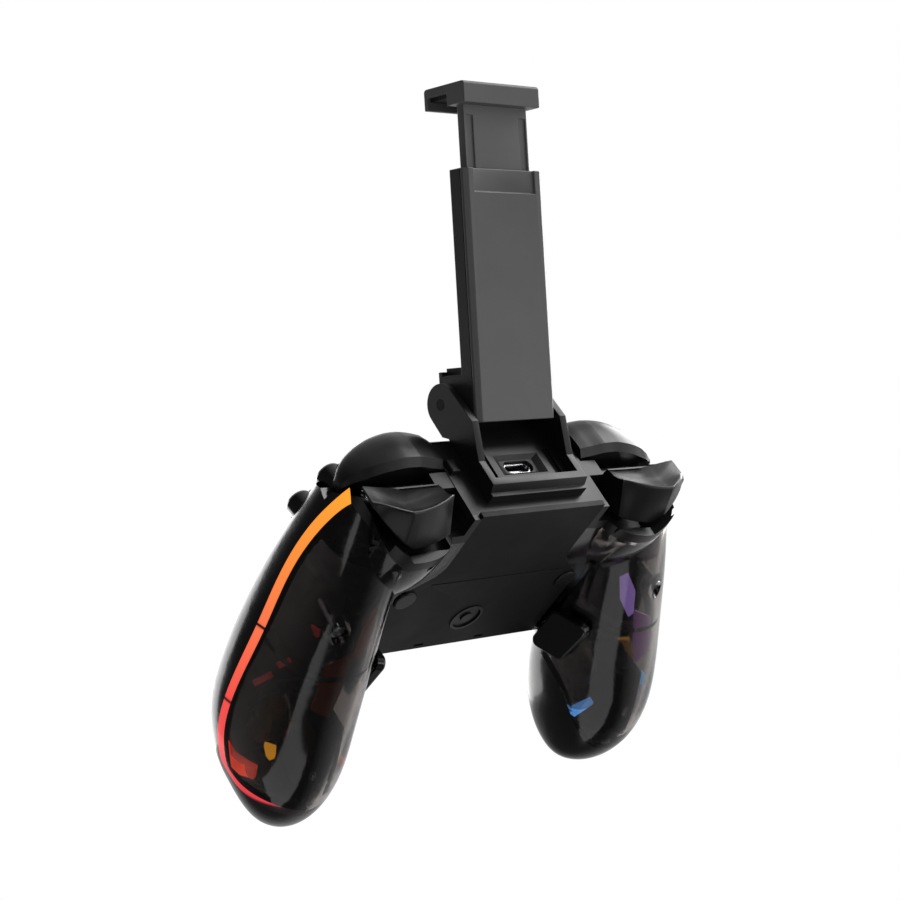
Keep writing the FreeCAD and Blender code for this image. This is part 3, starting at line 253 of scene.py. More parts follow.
def lit(name, colour, strength, dark=None):
    """Tinted acrylic that glows by itself, cloudy where it has a darker second colour."""
    made, tree = material(name)
    place = add(tree, "ShaderNodeTexCoord").outputs["Object"]
    cloud = add(tree, "ShaderNodeTexNoise", {
        "Vector": place, "Scale": ACRYLIC_CLOUDS, "Detail": 2.0}).outputs["Fac"]
    shade = add(tree, "ShaderNodeValToRGB", {"Fac": cloud})
    fill_ramp(shade, [(0.3, srgb(dark or colour)), (0.65, srgb(colour))])
    shader = add(tree, "ShaderNodeBsdfPrincipled", {
        "Base Color": shade.outputs["Color"], "Roughness": 0.3, "IOR": ACRYLIC_IOR,
        "Emission Color": shade.outputs["Color"], "Emission Strength": strength})
    finish_with(tree, shader.outputs["BSDF"])
    return made


def metal(name, colour, roughness, grain):
    """Turned or drawn metal: its fine tool marks make the gloss uneven."""
    made, tree = material(name)
    place = add(tree, "ShaderNodeTexCoord").outputs["Object"]
    marks = add(tree, "ShaderNodeTexNoise", {"Vector": place, "Scale": 1.0 / (grain * MM), "Detail": 3.0})
    gloss = add(tree, "ShaderNodeMapRange", {
        "Value": marks.outputs["Fac"], "From Min": NOISE_LOW, "From Max": NOISE_HIGH,
        "To Min": roughness * (1.0 - UNEVEN_METAL), "To Max": roughness * (1.0 + UNEVEN_METAL)})
    bump = add(tree, "ShaderNodeBump", {
        "Height": marks.outputs["Fac"], "Distance": 0.01 * MM, "Strength": 0.5})
    shader = add(tree, "ShaderNodeBsdfPrincipled", {
        "Base Color": srgb(colour), "Metallic": 1.0, "Roughness": gloss.outputs["Result"],
        "Normal": bump.outputs["Normal"]})
    finish_with(tree, shader.outputs["BSDF"])
    return made


def circuit_board(name):
    """Solder mask over copper: dark green lacquer with tracks showing as slightly lighter lines."""
    made, tree = material(name)
    place = add(tree, "ShaderNodeTexCoord").outputs["Object"]
    tracks = add(tree, "ShaderNodeTexBrick", {
        "Vector": place, "Scale": BOARD_TRACKS, "Mortar Size": 0.03,
        "Color1": srgb("#0E2A22"), "Color2": srgb("#12352A"), "Mortar": srgb("#2F5A45")})
    bump = add(tree, "ShaderNodeBump", {
        "Height": tracks.outputs["Fac"], "Distance": 0.03 * MM, "Strength": 0.6})
    shader = add(tree, "ShaderNodeBsdfPrincipled", {
        "Base Color": tracks.outputs["Color"], "Roughness": 0.3, "IOR": ABS_IOR,
        "Normal": bump.outputs["Normal"]})
    finish_with(tree, shader.outputs["BSDF"])
    return made


# Smoked ABS from a polished mould: so dark that only its soft highlights show
SMOKE_SHELL = polished("polished_smoke_abs", "#141415", 0.22, 0.25)
# Smoked polycarbonate, polished on both sides: what lies behind it shows darkened
CLEAR_GRIP = smoked("smoked_polycarbonate", "#8E8885", 0.09)
# ABS from a spark-eroded mould: dull black, its grain breaks up every highlight
MATTE = moulded("spark_eroded_abs", "#101011", 0.55, 0.35, 0.012, specular=0.25)
# The same plastic with a finer grain: a low sheen on the edges
DECK = moulded("fine_satin_abs", "#171718", 0.42, 0.3, 0.006, specular=0.4)
# Satin ABS of keys, bumpers and triggers: black with broad soft highlights
SATIN = moulded("satin_black_abs", "#101011", 0.34, 0.3, 0.006, specular=0.35)
# ABS filled with graphite grey pigment: flow lines along the arm draw its highlights out
CLIP_SATIN = moulded("satin_graphite_abs", "#5A5A5B", 0.42, 0.3, 0.006, streaks=1.2)
# The clip's black parts, of the same grain
CLIP_DARK = moulded("satin_black_clip_abs", "#1E1E1F", 0.42, 0.3, 0.006, specular=0.4)
# Silicone rubber from a sandblasted mould: hardly any highlight
RUBBER = moulded("silicone_rubber", "#161617", 0.7, 0.4, 0.015)
# Polished ABS of paddles and face buttons: black with clear reflections
GLOSS = polished("polished_black_abs", "#0C0C0D", 0.12, 0.4)
# Lighter grey on the trigger's lip: a painted highlight that stands for the thin bright reflection along its edge
LIP_HIGHLIGHT = moulded("painted_lip_highlight", "#6A6A6C", 0.2, 0.3, 0.003)
# Nylon filled with glass fibre, as moulded: dull dark grey
INNER_FRAME = moulded("glass_filled_nylon", "#2C2C2E", 0.5, 0.4, 0.01)
# Nickel-plated steel, drawn: bright, with faint marks
STEEL = metal("nickel_plated_steel", "#B9B9BC", 0.25, 0.2)
# Steel blackened in an oxide bath: dark and half dull
BLACK_STEEL = metal("black_oxide_steel", "#1D1D1F", 0.4, 0.2)
# Turned brass: warm and bright
BRASS = metal("brass", "#C8A050", 0.3, 0.2)
# Fibreglass board under solder mask: dark green and smooth
BOARD = circuit_board("solder_mask")
# Shrink-wrap film round the cell: smooth blue-grey
WRAP = polished("shrink_wrap_film", "#27303F", 0.3, 0.2)


def dress(node, finish):
    """Gives a CAD node its finish."""
    slots = nodes[node].data.materials
    slots.clear()
    slots.append(finish)


# Light guides, coloured from the tip of each grip to the shoulder, with a dark end and two dark breaks

strip_low, strip_high = (corner.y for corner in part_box("light_strip_right"))
STRIP_GLOW = 0.9
DARK_END = "#160F10"
WARM_STOPS = (
    (0.0, DARK_END), (0.045, DARK_END), (0.055, "#D83A44"), (0.294, "#EC4E48"), (0.298, DARK_END),
    (0.303, DARK_END), (0.307, "#EC4E48"), (0.538, "#F4714A"), (0.542, DARK_END), (0.547, DARK_END),
    (0.551, "#F4714A"), (0.75, "#F58A3C"), (1.0, "#F5A030"))
COOL_STOPS = (
    (0.0, DARK_END), (0.045, DARK_END), (0.055, "#3D8FF2"), (0.294, "#5A7CF0"), (0.298, DARK_END),
    (0.303, DARK_END), (0.307, "#5A7CF0"), (0.538, "#8E7BE8"), (0.542, DARK_END), (0.547, DARK_END),
    (0.551, "#8E7BE8"), (1.0, "#A98BE0"))
GLOW = {
    "right": glowing("warm_light_guide", WARM_STOPS, STRIP_GLOW, strip_low, strip_high),
    "left": glowing("cool_light_guide", COOL_STOPS, STRIP_GLOW, strip_low, strip_high),
}

FINISHES = {
    "front_shell": SMOKE_SHELL, "back_panel": MATTE, "badge_disc": SATIN, "shoulder_deck": DECK,
    "usb_port": STEEL, "main_board": BOARD, "battery": WRAP, "latch_block": CLIP_DARK,
    "hinge_pin": BLACK_STEEL, "arm_cover": CLIP_SATIN, "slider": CLIP_SATIN, "arm_body": CLIP_DARK,
    "clip_base": DECK,
    "lower_jaw_pad": RUBBER, "upper_jaw_pad": RUBBER, "cross_base": SATIN, "cross_yoke": SATIN,
    "cross_pad": SATIN, "view_button": SATIN, "menu_button": SATIN, "home_button": SATIN,
}
for label in ("north", "east", "south", "west"):
    FINISHES[f"button_{label}"] = GLOSS
for name, _ in SIDES:
    FINISHES.update({
        f"back_grip_{name}": CLEAR_GRIP, f"light_strip_{name}": GLOW[name], f"cap_{name}": SATIN,
        f"trigger_pin_{name}": STEEL, f"bumper_pin_{name}": STEEL, f"bumper_{name}": SATIN,
        f"trigger_{name}": SATIN, f"paddle_{name}": GLOSS, f"grip_screw_{name}": STEEL,
        f"rumble_motor_{name}": STEEL, f"rumble_weight_{name}": BRASS, f"motor_bracket_{name}": MATTE,
        f"stick_base_{name}": SATIN, f"stick_carrier_{name}": SATIN, f"stick_yoke_{name}": SATIN,
        f"stick_{name}": RUBBER, f"stick_ring_{name}": SATIN,
    })
for node, finish in FINISHES.items():
    dress(node, finish)


# Shapes: helpers that put a drawn piece on its body, or in the place of a CAD node

BODY_OF = {}
for body, members in frame["record"]["behaviour"]["bodies"].items():
    for member in members:
        BODY_OF[member] = body

# Angles in degrees past which an edge stays crisp: on copies of CAD nodes, and on pieces drawn here
COPY_CREASE = 30.0
DRAWN_CREASE = 35.0


def placed(name, work, finishes, body, crease):
    """Turns a bmesh into a smooth piece that rides on a body."""
    mesh = bpy.data.meshes.new(name)
    work.to_mesh(mesh)
    work.free()
    for polygon in mesh.polygons:
        polygon.use_smooth = True
    mesh.set_sharp_from_angle(angle=math.radians(crease))
    for finish in finishes:
        mesh.materials.append(finish)
    piece = bpy.data.objects.new(name, mesh)
    scene.collection.objects.link(piece)
    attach(piece, body)
    return piece


def show(name, work, finish, body):
    """Shows a piece that no CAD node stands for."""
    bmesh.ops.recalc_face_normals(work, faces=work.faces)
    placed(name, work, (finish,), body, DRAWN_CREASE)


def stand_in(node, ending, work, finishes, crease):
    """Shows a piece in the place of a CAD node."""
    piece = placed(f"{node}_{ending}", work, finishes, BODY_OF[node], crease)
    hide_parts(node)
    return piece


def copy_of(node):
    """Editable copy of a CAD node's mesh."""
    work = bmesh.new()
    work.from_mesh(nodes[node].data)
    return work


def all_parts(work):
    return work.verts[:] + work.edges[:] + work.faces[:]


def skin(work, rings, capped=True):
    """Joins rings of points into one surface, and gives back the faces between them, ring by ring."""
    made = [[work.verts.new(point) for point in ring] for ring in rings]
    sides = []
    for near, far in zip(made, made[1:]):
        count = len(near)
        for i in range(count):
            j = (i + 1) % count
            sides.append(work.faces.new((near[i], near[j], far[j], far[i])))
    if capped:
        work.faces.new(made[0])
        work.faces.new(list(reversed(made[-1])))
    return sides


# Soft edges: these moulded pieces are shown with their corners rounded, as a mould leaves them

# Distance in millimetres within which corners are joined, and degrees under which faces count as flat
WELD = 0.002
FLAT_ANGLE = 0.6
ROUNDS = (("clip_base", 0.35), ("arm_body", 0.3), ("arm_cover", 0.3), ("slider", 0.35),
          ("shoulder_deck", 0.2), ("back_panel", 0.2))


def soften(node, radius):
    """Shows a node by a copy of it with rounded corners."""
    work = copy_of(node)
    bmesh.ops.remove_doubles(work, verts=work.verts, dist=WELD * MM)
    bmesh.ops.dissolve_limit(work, angle_limit=math.radians(FLAT_ANGLE), verts=work.verts, edges=work.edges)
    piece = stand_in(node, "soft", work, (FINISHES[node],), COPY_CREASE)
    round_off = piece.modifiers.new("round_off", "BEVEL")
    round_off.width = radius * MM
    round_off.segments = 2
    round_off.limit_method = "ANGLE"
    round_off.angle_limit = math.radians(COPY_CREASE)
    round_off.use_clamp_overlap = True
    round_off.harden_normals = True


for node, radius in ROUNDS:
    soften(node, radius)


# Bumpers and triggers, drawn by sections across the pad inside the outlines of the CAD pieces

# Distance of the second section from the first, at each end of a drawn piece
EDGE_PAIR = 0.25


def between(rows, place):
    """Values of a rising table of stations at one place, on a smooth curve through all of them."""
    last = len(rows) - 1
    index = max(i for i in range(last) if rows[i][0] <= place or i == 0)
    low = rows[index]
    high = rows[index + 1]
    before = rows[max(index - 1, 0)]
    after = rows[min(index + 2, last)]
    t = (place - low[0]) / (high[0] - low[0])
    values = []
    for a, b, c, d in zip(before[1:], low[1:], high[1:], after[1:]):
        values.append(0.5 * (2 * b + (c - a) * t + (2 * a - 5 * b + 4 * c - d) * t ** 2
                             + (3 * b - a - 3 * c + d) * t ** 3))
    return values


def sections(rows, count):
    """Even sections of a table of stations, with a close pair at each end that keeps the edge crisp."""
    start = rows[0][0]
    end = rows[-1][0]
    even = [start + (end - start) * i / count for i in range(count + 1)]
    spots = [start, start + EDGE_PAIR] + even[1:-1] + [end - EDGE_PAIR, end]
    return [(spot, *between(rows, spot)) for spot in spots]


# Bumper: across, front and top; it bends at its crease
BUMPER_INNER = ((25.0, 34.4, 29.6), (26.6, 34.8, 30.9), (29.5, 35.3, 31.5), (33.5, 36.15, 31.5))
BUMPER_OUTER = ((33.5, 36.15, 31.5), (38.0, 36.2, 31.1), (43.0, 35.2, 30.1), (47.5, 33.8, 28.3),
                (51.0, 32.3, 26.2), (54.0, 30.5, 23.5), (56.2, 28.6, 20.4))
BUMPER_STEPS = (5, 18)
BUMPER_REAR = 26.6
BUMPER_FOOT = 17.2
# Shares of the bumper's depth and height along its rounded front and crown
BUMPER_ROUND = ((1.0, 0.32), (0.965, 0.52), (0.9, 0.7), (0.8, 0.85), (0.66, 0.95), (0.48, 1.0),
                (0.28, 0.99), (0.12, 0.94), (0.0, 0.86))
# Slant under the bumper's front edge
LIP_RISE = 2.1
LIP_DEPTH = 1.7
# Depth under which the bumper's lip gets smaller with it
LIP_FULL_DEPTH = 6.0


def bumper_ring(side, across, front, top):
    depth = front - BUMPER_REAR
    height = top - BUMPER_FOOT
    lip = min(1.0, depth / LIP_FULL_DEPTH)
    outline = [(BUMPER_REAR, BUMPER_FOOT), (front - LIP_DEPTH * lip, BUMPER_FOOT),
               (front, BUMPER_FOOT + LIP_RISE * lip)]
    outline += [(BUMPER_REAR + depth * u, BUMPER_FOOT + height * w) for u, w in BUMPER_ROUND]
    return [at(pad, side * across, y, z) for y, z in outline]


def bumper(name, side):
    """Bumper: drawn by sections from the middle of the pad to its side."""
    node = f"bumper_{name}"
    work = bmesh.new()
    rows = sections(BUMPER_INNER, BUMPER_STEPS[0]) + sections(BUMPER_OUTER, BUMPER_STEPS[1])[1:]
    skin(work, [bumper_ring(side, *row) for row in rows])
    bmesh.ops.recalc_face_normals(work, faces=work.faces)
    stand_in(node, "form", work, (FINISHES[node],), DRAWN_CREASE)


# Trigger: across, rear, front, height of the lip and of the foot; it bends at the corner of its finger side
TRIGGER_INNER = ((30.6, 27.3, 36.6, 5.8, -0.6), (34.0, 26.9, 37.0, 4.1, -1.7), (38.0, 26.6, 37.2, 2.6, -2.6),
                 (43.0, 26.2, 37.3, 1.4, -2.9), (46.5, 28.1, 37.3, 1.1, -2.5))
TRIGGER_OUTER = ((46.5, 28.1, 37.3, 1.1, -2.5), (50.0, 30.5, 37.0, 2.7, -0.6), (53.0, 32.6, 36.6, 4.6, 1.8),
                 (55.8, 34.7, 35.6, 6.7, 4.7))
TRIGGER_STEPS = (12, 8)
TRIGGER_CREST = 11.6
# Outline of a section: share of the depth, the level that the height starts from, and the rise over it
TRIGGER_ROUND = (
    (0.0, "crest", 0.0), (0.0, "foot", 0.7), (0.03, "foot", 0.2), (0.09, "foot", 0.0),
    (0.93, "lip", -0.85), (0.975, "lip", -0.65), (0.995, "lip", -0.35), (1.0, "lip", -0.1),
    (0.985, "lip", 0.1), (0.95, "lip", 0.25), (0.86, "lip", 1.3), (0.78, "lip", 3.0),
    (0.73, "lip", 5.0), (0.66, "crest", -0.2), (0.55, "crest", 0.3), (0.3, "crest", 0.3))
# Least drop from the crest to what rises from the lip
SHOULDER_DROP = 0.8
# Steps of the outline that carry the painted highlight of the lip
LIP_ROWS = (6, 7, 8)
# Height by which the drawn finger side reaches over the hub kept from the CAD piece
HUB_OVERLAP = 0.4


def trigger_ring(side, across, rear, front, lip, foot):
    levels = {"crest": TRIGGER_CREST, "foot": foot, "lip": lip}
    ring = []
    for share, level, rise in TRIGGER_ROUND:
        height = levels[level] + rise
        if level == "lip":
            height = min(height, TRIGGER_CREST - SHOULDER_DROP)
        ring.append(at(pad, side * across, rear + (front - rear) * share, height))
    return ring


def trigger(name, side):
    """Trigger: its finger side drawn by sections, its hub on the pin kept from the CAD piece."""
    node = f"trigger_{name}"
    work = copy_of(node)
    foot_of_hub = at(pad, 0.0, 0.0, TRIGGER_CREST - HUB_OVERLAP)
    out = pad.to_3x3() @ Vector((0.0, 0.0, 1.0))
    bmesh.ops.bisect_plane(work, geom=all_parts(work), plane_co=foot_of_hub, plane_no=out, clear_inner=True)
    rows = sections(TRIGGER_INNER, TRIGGER_STEPS[0]) + sections(TRIGGER_OUTER, TRIGGER_STEPS[1])[1:]
    # Faces of the lip rows get the lighter grey of the painted highlight
    for number, face in enumerate(skin(work, [trigger_ring(side, *row) for row in rows])):
        if number % len(TRIGGER_ROUND) in LIP_ROWS:
            face.material_index = 1
    bmesh.ops.recalc_face_normals(work, faces=work.faces)
    stand_in(node, "form", work, (FINISHES[node], LIP_HIGHLIGHT), DRAWN_CREASE)


for name, side in SIDES:
    bumper(name, side)
    trigger(name, side)


# Shells: the wall outside each trigger slopes down to it, and is moulded in black over the clear plastic

# Corner of the trigger's bay, and the ways in which its two walls face
BAY_CORNER = (43.5, 24.8)
BAY_SIDES = ((0.0727, 0.9974), (-0.5561, 0.8312))
BAND_WIDTH = 3.2
# Slope: a point on it in the pad's side view, its normal, and how far out it starts
SLOPE_SPOT = (28.0, 16.6)
SLOPE_NORMAL = Vector((0.0, 0.797, 0.604))
SLOPE_FROM = 50.0
# Reach within which a wall counts as the strip's channel
CHANNEL_REACH = 0.6


def pad_plane(spot, normal):
    """Point and normal of a plane, given in the pad's own axes."""
    return at(pad, *spot), pad.to_3x3() @ normal


def beyond(face, plane):
    """Whether a face's middle lies on the side that a plane's normal points to."""
    return (face.calc_center_median() - plane[0]).dot(plane[1]) > 0


def slope_wall(work, side):
    """Cuts the thin corner off the wall outside a trigger, and closes the cut."""
    across = pad_plane((side * SLOPE_FROM, 0.0, 0.0), Vector((side, 0.0, 0.0)))
    slope = pad_plane((0.0, *SLOPE_SPOT), SLOPE_NORMAL)
    bmesh.ops.bisect_plane(work, geom=all_parts(work), plane_co=across[0], plane_no=across[1])
    outside = [face for face in work.faces if beyond(face, across)]
    parts = {part for face in outside for part in (face, *face.edges, *face.verts)}
    made = bmesh.ops.bisect_plane(work, geom=list(parts), plane_co=slope[0], plane_no=slope[1])
    cut = [part for part in made["geom_cut"] if isinstance(part, bmesh.types.BMEdge)]
    above = [face for face in work.faces if beyond(face, across) and beyond(face, slope)]
    bmesh.ops.delete(work, geom=above, context="FACES")
    rims = [edge for edge in cut if edge.is_valid and edge.is_boundary]
    bmesh.ops.triangle_fill(work, use_beauty=True, edges=rims)


def clear_back(name, side):
    """Clear back of a grip, black round the trigger's bay and along the strip's channel."""
    node = f"back_grip_{name}"
    work = copy_of(node)
    slope_wall(work, side)
    planes = []
    for out, forward in BAY_SIDES:
        normal = Vector((side * out, forward, 0.0))
        spot = Vector((side * BAY_CORNER[0], BAY_CORNER[1], 0.0)) - normal * BAND_WIDTH
        planes.append(pad_plane(spot, normal))
    for spot, normal in planes:
        bmesh.ops.bisect_plane(work, geom=all_parts(work), plane_co=spot, plane_no=normal)
    strip_copy = copy_of(f"light_strip_{name}")
    strip = BVHTree.FromBMesh(strip_copy)
    strip_copy.free()
    for face in work.faces:
        in_bay = all(beyond(face, plane) for plane in planes)
        nearest = [strip.find_nearest(vert.co, CHANNEL_REACH * MM)[0] for vert in face.verts]
        in_channel = all(spot is not None for spot in nearest)
        face.material_index = int(in_bay or in_channel)
    stand_in(node, "form", work, (CLEAR_GRIP, SATIN), COPY_CREASE)


for name, side in SIDES:
    clear_back(name, side)
front = copy_of("front_shell")
for _, side in SIDES:
    slope_wall(front, side)
stand_in("front_shell", "form", front, (SMOKE_SHELL,), COPY_CREASE)


# Inside of the grips: place along, centre across, centre height, half width, rise and drop, as in the CAD

GRIP_STATIONS = (
    (20.0, 48.0, 13.5, 13.7, 13.3, 15.0),
    (5.0, 51.5, 8.0, 15.5, 16.0, 18.0),
    (-10.0, 54.3, 2.3, 17.2, 17.8, 20.0),
    (-28.0, 57.0, -5.4, 18.0, 19.4, 22.4),
    (-44.0, 57.0, -11.3, 16.0, 18.6, 21.3),
    (-55.0, 55.5, -15.5, 10.5, 13.2, 14.5),
)
GRIP_FRONT = 19.9
GRIP_TIP = -54.9
SHELL_WALL = 2.0
OVAL_POWER = 2.3


def on_lines(rows, place):
    """Values of a falling table of places at one place, on straight lines through it."""
    for near, far in zip(rows, rows[1:]):
        if near[0] >= place >= far[0]:
            share = (near[0] - place) / (near[0] - far[0])
            return [a + (b - a) * share for a, b in zip(near[1:], far[1:])]
    return rows[-1][1:]


def station(along):
    """Section of a grip at one place along it."""
    return on_lines(GRIP_STATIONS, min(max(along, GRIP_TIP), GRIP_FRONT))


def hull_point(along, angle, inset, side):
    """Point of a grip's section, a given distance inside its skin."""
    across, height, half, rise, drop = station(along)
    c = math.cos(angle)
    s = math.sin(angle)
    x = across + (half - inset) * math.copysign(abs(c) ** (2.0 / OVAL_POWER), c)
    reach = (rise if s > 0 else drop) - inset
    z = height + reach * math.copysign(abs(s) ** (2.0 / OVAL_POWER), s)
    return at(pad, side * x, along, z)


RIB_PLACES = (11.5, -9.0, -44.0)
RIB_THICK = 1.1
RIB_DEPTH = 3.2
RIB_GAP = 0.05
RIB_STEPS = 40
RIB_START = -178.0
RIB_SWEEP = 176.0


def rib(name, side, along):
    """Moulded rib that hugs the clear wall round the back of a grip."""
    near = along - RIB_THICK / 2
    far = along + RIB_THICK / 2
    outer = SHELL_WALL + RIB_GAP
    inner = SHELL_WALL + RIB_DEPTH
    rings = []
    for step in range(RIB_STEPS + 1):
        angle = math.radians(RIB_START + RIB_SWEEP * step / RIB_STEPS)
        corners = ((near, outer), (far, outer), (far, inner), (near, inner))
        rings.append([hull_point(spot, angle, inset, side) for spot, inset in corners])
    work = bmesh.new()
    skin(work, rings)
    show(name, work, INNER_FRAME, "shell")


PLATE_THICK = 1.4
PLATE_BOW = 1.2
PLATE_START = {"right": 17.5, "left": -2.5}
PLATE_END = -52.5
PLATE_STEPS = 24
# Place along, lift over the grip's centre and gap to its wall: the plate rises over the motor
PLATE_FORM = ((17.5, 1.5, 0.4), (-8.0, 1.5, 0.4), (-21.0, 6.2, 1.6), (-52.5, 6.2, 1.6))
PLATE_SHARES = (-1.0, -0.8, -0.45, 0.0, 0.45, 0.8, 1.0)


def mid_plate(name, side):
    """Inner frame across a grip: it starts behind the stick and hides the front half."""
    start = PLATE_START[name]
    rings = []
    for step in range(PLATE_STEPS + 1):
        along = start + (PLATE_END - start) * step / PLATE_STEPS
        across, height, half, _, _ = station(along)
        lift, gap = on_lines(PLATE_FORM, along)
        reach = half - SHELL_WALL - gap
        ring = []
        for thick, shares in ((0.0, PLATE_SHARES), (PLATE_THICK, PLATE_SHARES[::-1])):
            for share in shares:
                rise = height + lift + PLATE_BOW * (1.0 - share * share) + thick
                ring.append(at(pad, side * (across + reach * share), along, rise))
        rings.append(ring)
    work = bmesh.new()
    skin(work, rings)
    show(f"mid_plate_{name}", work, INNER_FRAME, "shell")


# How squarely a face has to look out of the grip to be the strip's bare face
STRIP_FACING = 0.8


def light_strip(name, side):
    """Light guide in its black channel: only the face that lies in the grip's skin is left bare."""
    node = f"light_strip_{name}"
    work = copy_of(node)
    to_pad = pad.inverted()
    for face in work.faces:
        spot = to_pad @ face.calc_center_median() / MM
        across, height, *_ = station(spot.y)
        outward = Vector((spot.x - side * across, 0.0, spot.z - height)).normalized()
        facing = (to_pad.to_3x3() @ face.normal).normalized().dot(outward)
        face.material_index = int(facing < STRIP_FACING)
    stand_in(node, "form", work, (GLOW[name], SATIN), COPY_CREASE)


# Windows of the light guides: corners of each on the clear wall

HOOK = ((73.9, -36.0, -12.3), (72.1, -38.7, -14.3), (71.2, -36.4, -19.2), (70.3, -35.4, -21.2),
        (69.8, -38.8, -22.5), (70.7, -40.8, -19.8), (72.9, -41.3, -16.8))
GEM = ((70.0, -28.7, -19.2), (68.1, -27.9, -21.3), (67.9, -30.0, -22.6), (68.7, -31.2, -22.3),
       (69.4, -30.7, -21.1))
SHORT_BAR = ((68.4, -10.9, -6.8), (66.7, -8.1, -7.6), (66.3, -8.4, -8.6), (68.1, -11.3, -8.1))
LONG_BAR = ((71.4, -19.0, -5.9), (69.5, -13.8, -7.2), (69.2, -14.2, -8.6), (71.2, -19.2, -7.4))
TOP_BAR = ((63.0, 1.3, -4.9), (61.3, 1.3, -6.8), (61.4, -0.1, -7.6), (62.2, -0.3, -7.0))
UPPER_PANE = ((43.9, 5.1, -5.9), (45.7, 6.9, -6.1), (49.2, 2.6, -9.0), (50.7, -3.9, -12.3),
              (49.3, -5.1, -12.6), (45.8, -1.0, -9.4))
LOWER_PANE = ((51.3, -3.3, -12.1), (58.8, -6.4, -13.0), (61.4, -16.4, -18.4), (56.1, -18.3, -20.6),
              (53.7, -12.0, -16.9))
TAIL_PANE = ((44.1, -37.5, -20.9), (45.9, -31.5, -22.5), (46.8, -32.4, -23.8), (44.3, -39.1, -23.4))
# Piece, corners, tint and thickness
WINDOWS = (
    ("light_hook", HOOK, "hook", 1.2), ("light_gem", GEM, "gem", 1.5),
    ("light_bar_short", SHORT_BAR, "bar", 1.0), ("light_bar_long", LONG_BAR, "bar", 1.0),
    ("light_bar_top", TOP_BAR, "bar", 1.0),
    ("upper_pane", UPPER_PANE, "pane", 1.0), ("lower_pane", LOWER_PANE, "low_pane", 1.0),
    ("tail_pane", TAIL_PANE, "tail", 1.0))
# Gap to the wall, depth of the rounded edges, and size at the outer and the inner face as a share
WINDOW_GAP = 0.05
WINDOW_ROUND = 0.15
WINDOW_TOP = 0.94
WINDOW_FOOT = 0.9

# Dyed acrylic: colour, glow and, where it is cloudy, its darker colour
TINTS = {
    "right": {
        "hook": lit("red_acrylic", "#F0553E", 1.0, "#D8402F"),
        "gem": lit("amber_acrylic", "#FFB428", 1.2),
        "bar": lit("dull_red_acrylic", "#B03A34", 0.5, "#6A1F1E"),
        "pane": lit("orange_acrylic", "#7A3418", 0.3),
        "low_pane": lit("ember_acrylic", "#5E2C18", 0.25),
        "tail": lit("amber_tail_acrylic", "#C8641E", 0.6),
    },
    "left": {
        "hook": lit("blue_acrylic", "#3E8FF0", 1.0, "#2C6CD0"),
        "gem": lit("cyan_acrylic", "#38B4F0", 1.2),
        "bar": lit("dull_blue_acrylic", "#3A4AA0", 0.5, "#20285A"),
        "pane": lit("violet_acrylic", "#AE90EA", 1.0),
        "low_pane": lit("plum_acrylic", "#7E4A8C", 0.7),
        "tail": lit("sky_acrylic", "#62A6FA", 1.1),
    },
}


def window(name, side, points, finish, thick):
    """Flat window of a light guide, its corners on the clear wall."""
    spots = [Vector((side * x, y, z)) for x, y, z in points]
    middle = sum(spots, Vector()) / len(spots)
    across, height, *_ = station(middle.y)
    inward = (Vector((side * across, middle.y, height)) - middle).normalized()
    levels = ((WINDOW_GAP, WINDOW_TOP), (WINDOW_ROUND, 1.0), (thick, 1.0),
              (thick + WINDOW_ROUND, WINDOW_FOOT))
    rings = []
    for depth, grow in levels:
        rings.append([at(pad, *(middle + (spot - middle) * grow + inward * depth)) for spot in spots])
    work = bmesh.new()
    skin(work, rings)
    show(name, work, finish, "shell")


for name, side in SIDES:
    mid_plate(name, side)
    light_strip(name, side)
    for number, along in enumerate(RIB_PLACES, start=1):
        rib(f"rib_{number}_{name}", side, along)
    for label, points, tint, thick in WINDOWS:
        window(f"{label}_{name}", side, points, TINTS[name][tint], thick)


# Rims of the thumb sticks: a straight knurl round each cap

STICK_DEPTH = 9.0
CAP_RADIUS = 9.0
CAP_TOP = 15.5
TEETH = 56
TOOTH_ROOT = 0.05
TOOTH_TIP = 0.45
TOOTH_STEPS = (TOOTH_ROOT, TOOTH_TIP, TOOTH_TIP, TOOTH_ROOT)
RIM_GAP = 0.05
# Depth under the cap's top, share of the full tooth, and shift of the rim outwards
RIM_LEVELS = ((4.1, 0.0, -0.9), (3.6, 0.5, -0.2), (3.0, 1.0, 0.0), (1.7, 1.0, 0.0), (1.1, 0.5, -0.2),
              (0.7, 0.0, -0.6))


def knurl(name, base, body):
    """Straight-cut teeth round the rim of a thumb stick."""
    count = TEETH * len(TOOTH_STEPS)
    rings = []
    for depth, share, shift in RIM_LEVELS:
        ring = []
        for step in range(count):
            angle = 2.0 * math.pi * step / count
            out = TOOTH_STEPS[step % len(TOOTH_STEPS)] * share + CAP_RADIUS + RIM_GAP + shift
            ring.append(at(base, out * math.cos(angle), out * math.sin(angle), CAP_TOP - depth))
        rings.append(ring)
    work = bmesh.new()
    skin(work, rings, capped=False)
    show(name, work, RUBBER, body)


for name, _ in SIDES:
    knurl(f"stick_knurl_{name}", stick_frame(name, STICK_DEPTH), f"stick_{name}")


# Camera at the photograph's angle, from in front of the shoulder side and below

CAMERA_SPOT = (334.56, 325.60, -212.87)
CAMERA_RIGHT = Vector((-0.76422, 0.45394, -0.45815))
CAMERA_DOWN = Vector((0.05475, -0.66214, -0.74738))
LENS = 74.25
turn = pad.to_3x3()
right = (turn @ CAMERA_RIGHT).normalized()
up = -(turn @ CAMERA_DOWN)
back = right.cross(up).normalized()
up = back.cross(right)
camera_data = bpy.data.cameras.new("camera")
camera_data.lens = LENS
camera_data.sensor_width = 36.0
camera_data.clip_start = 0.01
camera = bpy.data.objects.new("camera", camera_data)
scene.collection.objects.link(camera)
camera_turn = Matrix((right, up, back)).transposed().to_4x4()
camera.matrix_world = Matrix.Translation(at(pad, *CAMERA_SPOT)) @ camera_turn
scene.camera = camera


# Studio: a white background, which lights the part from one side, and a floor that can be looked through

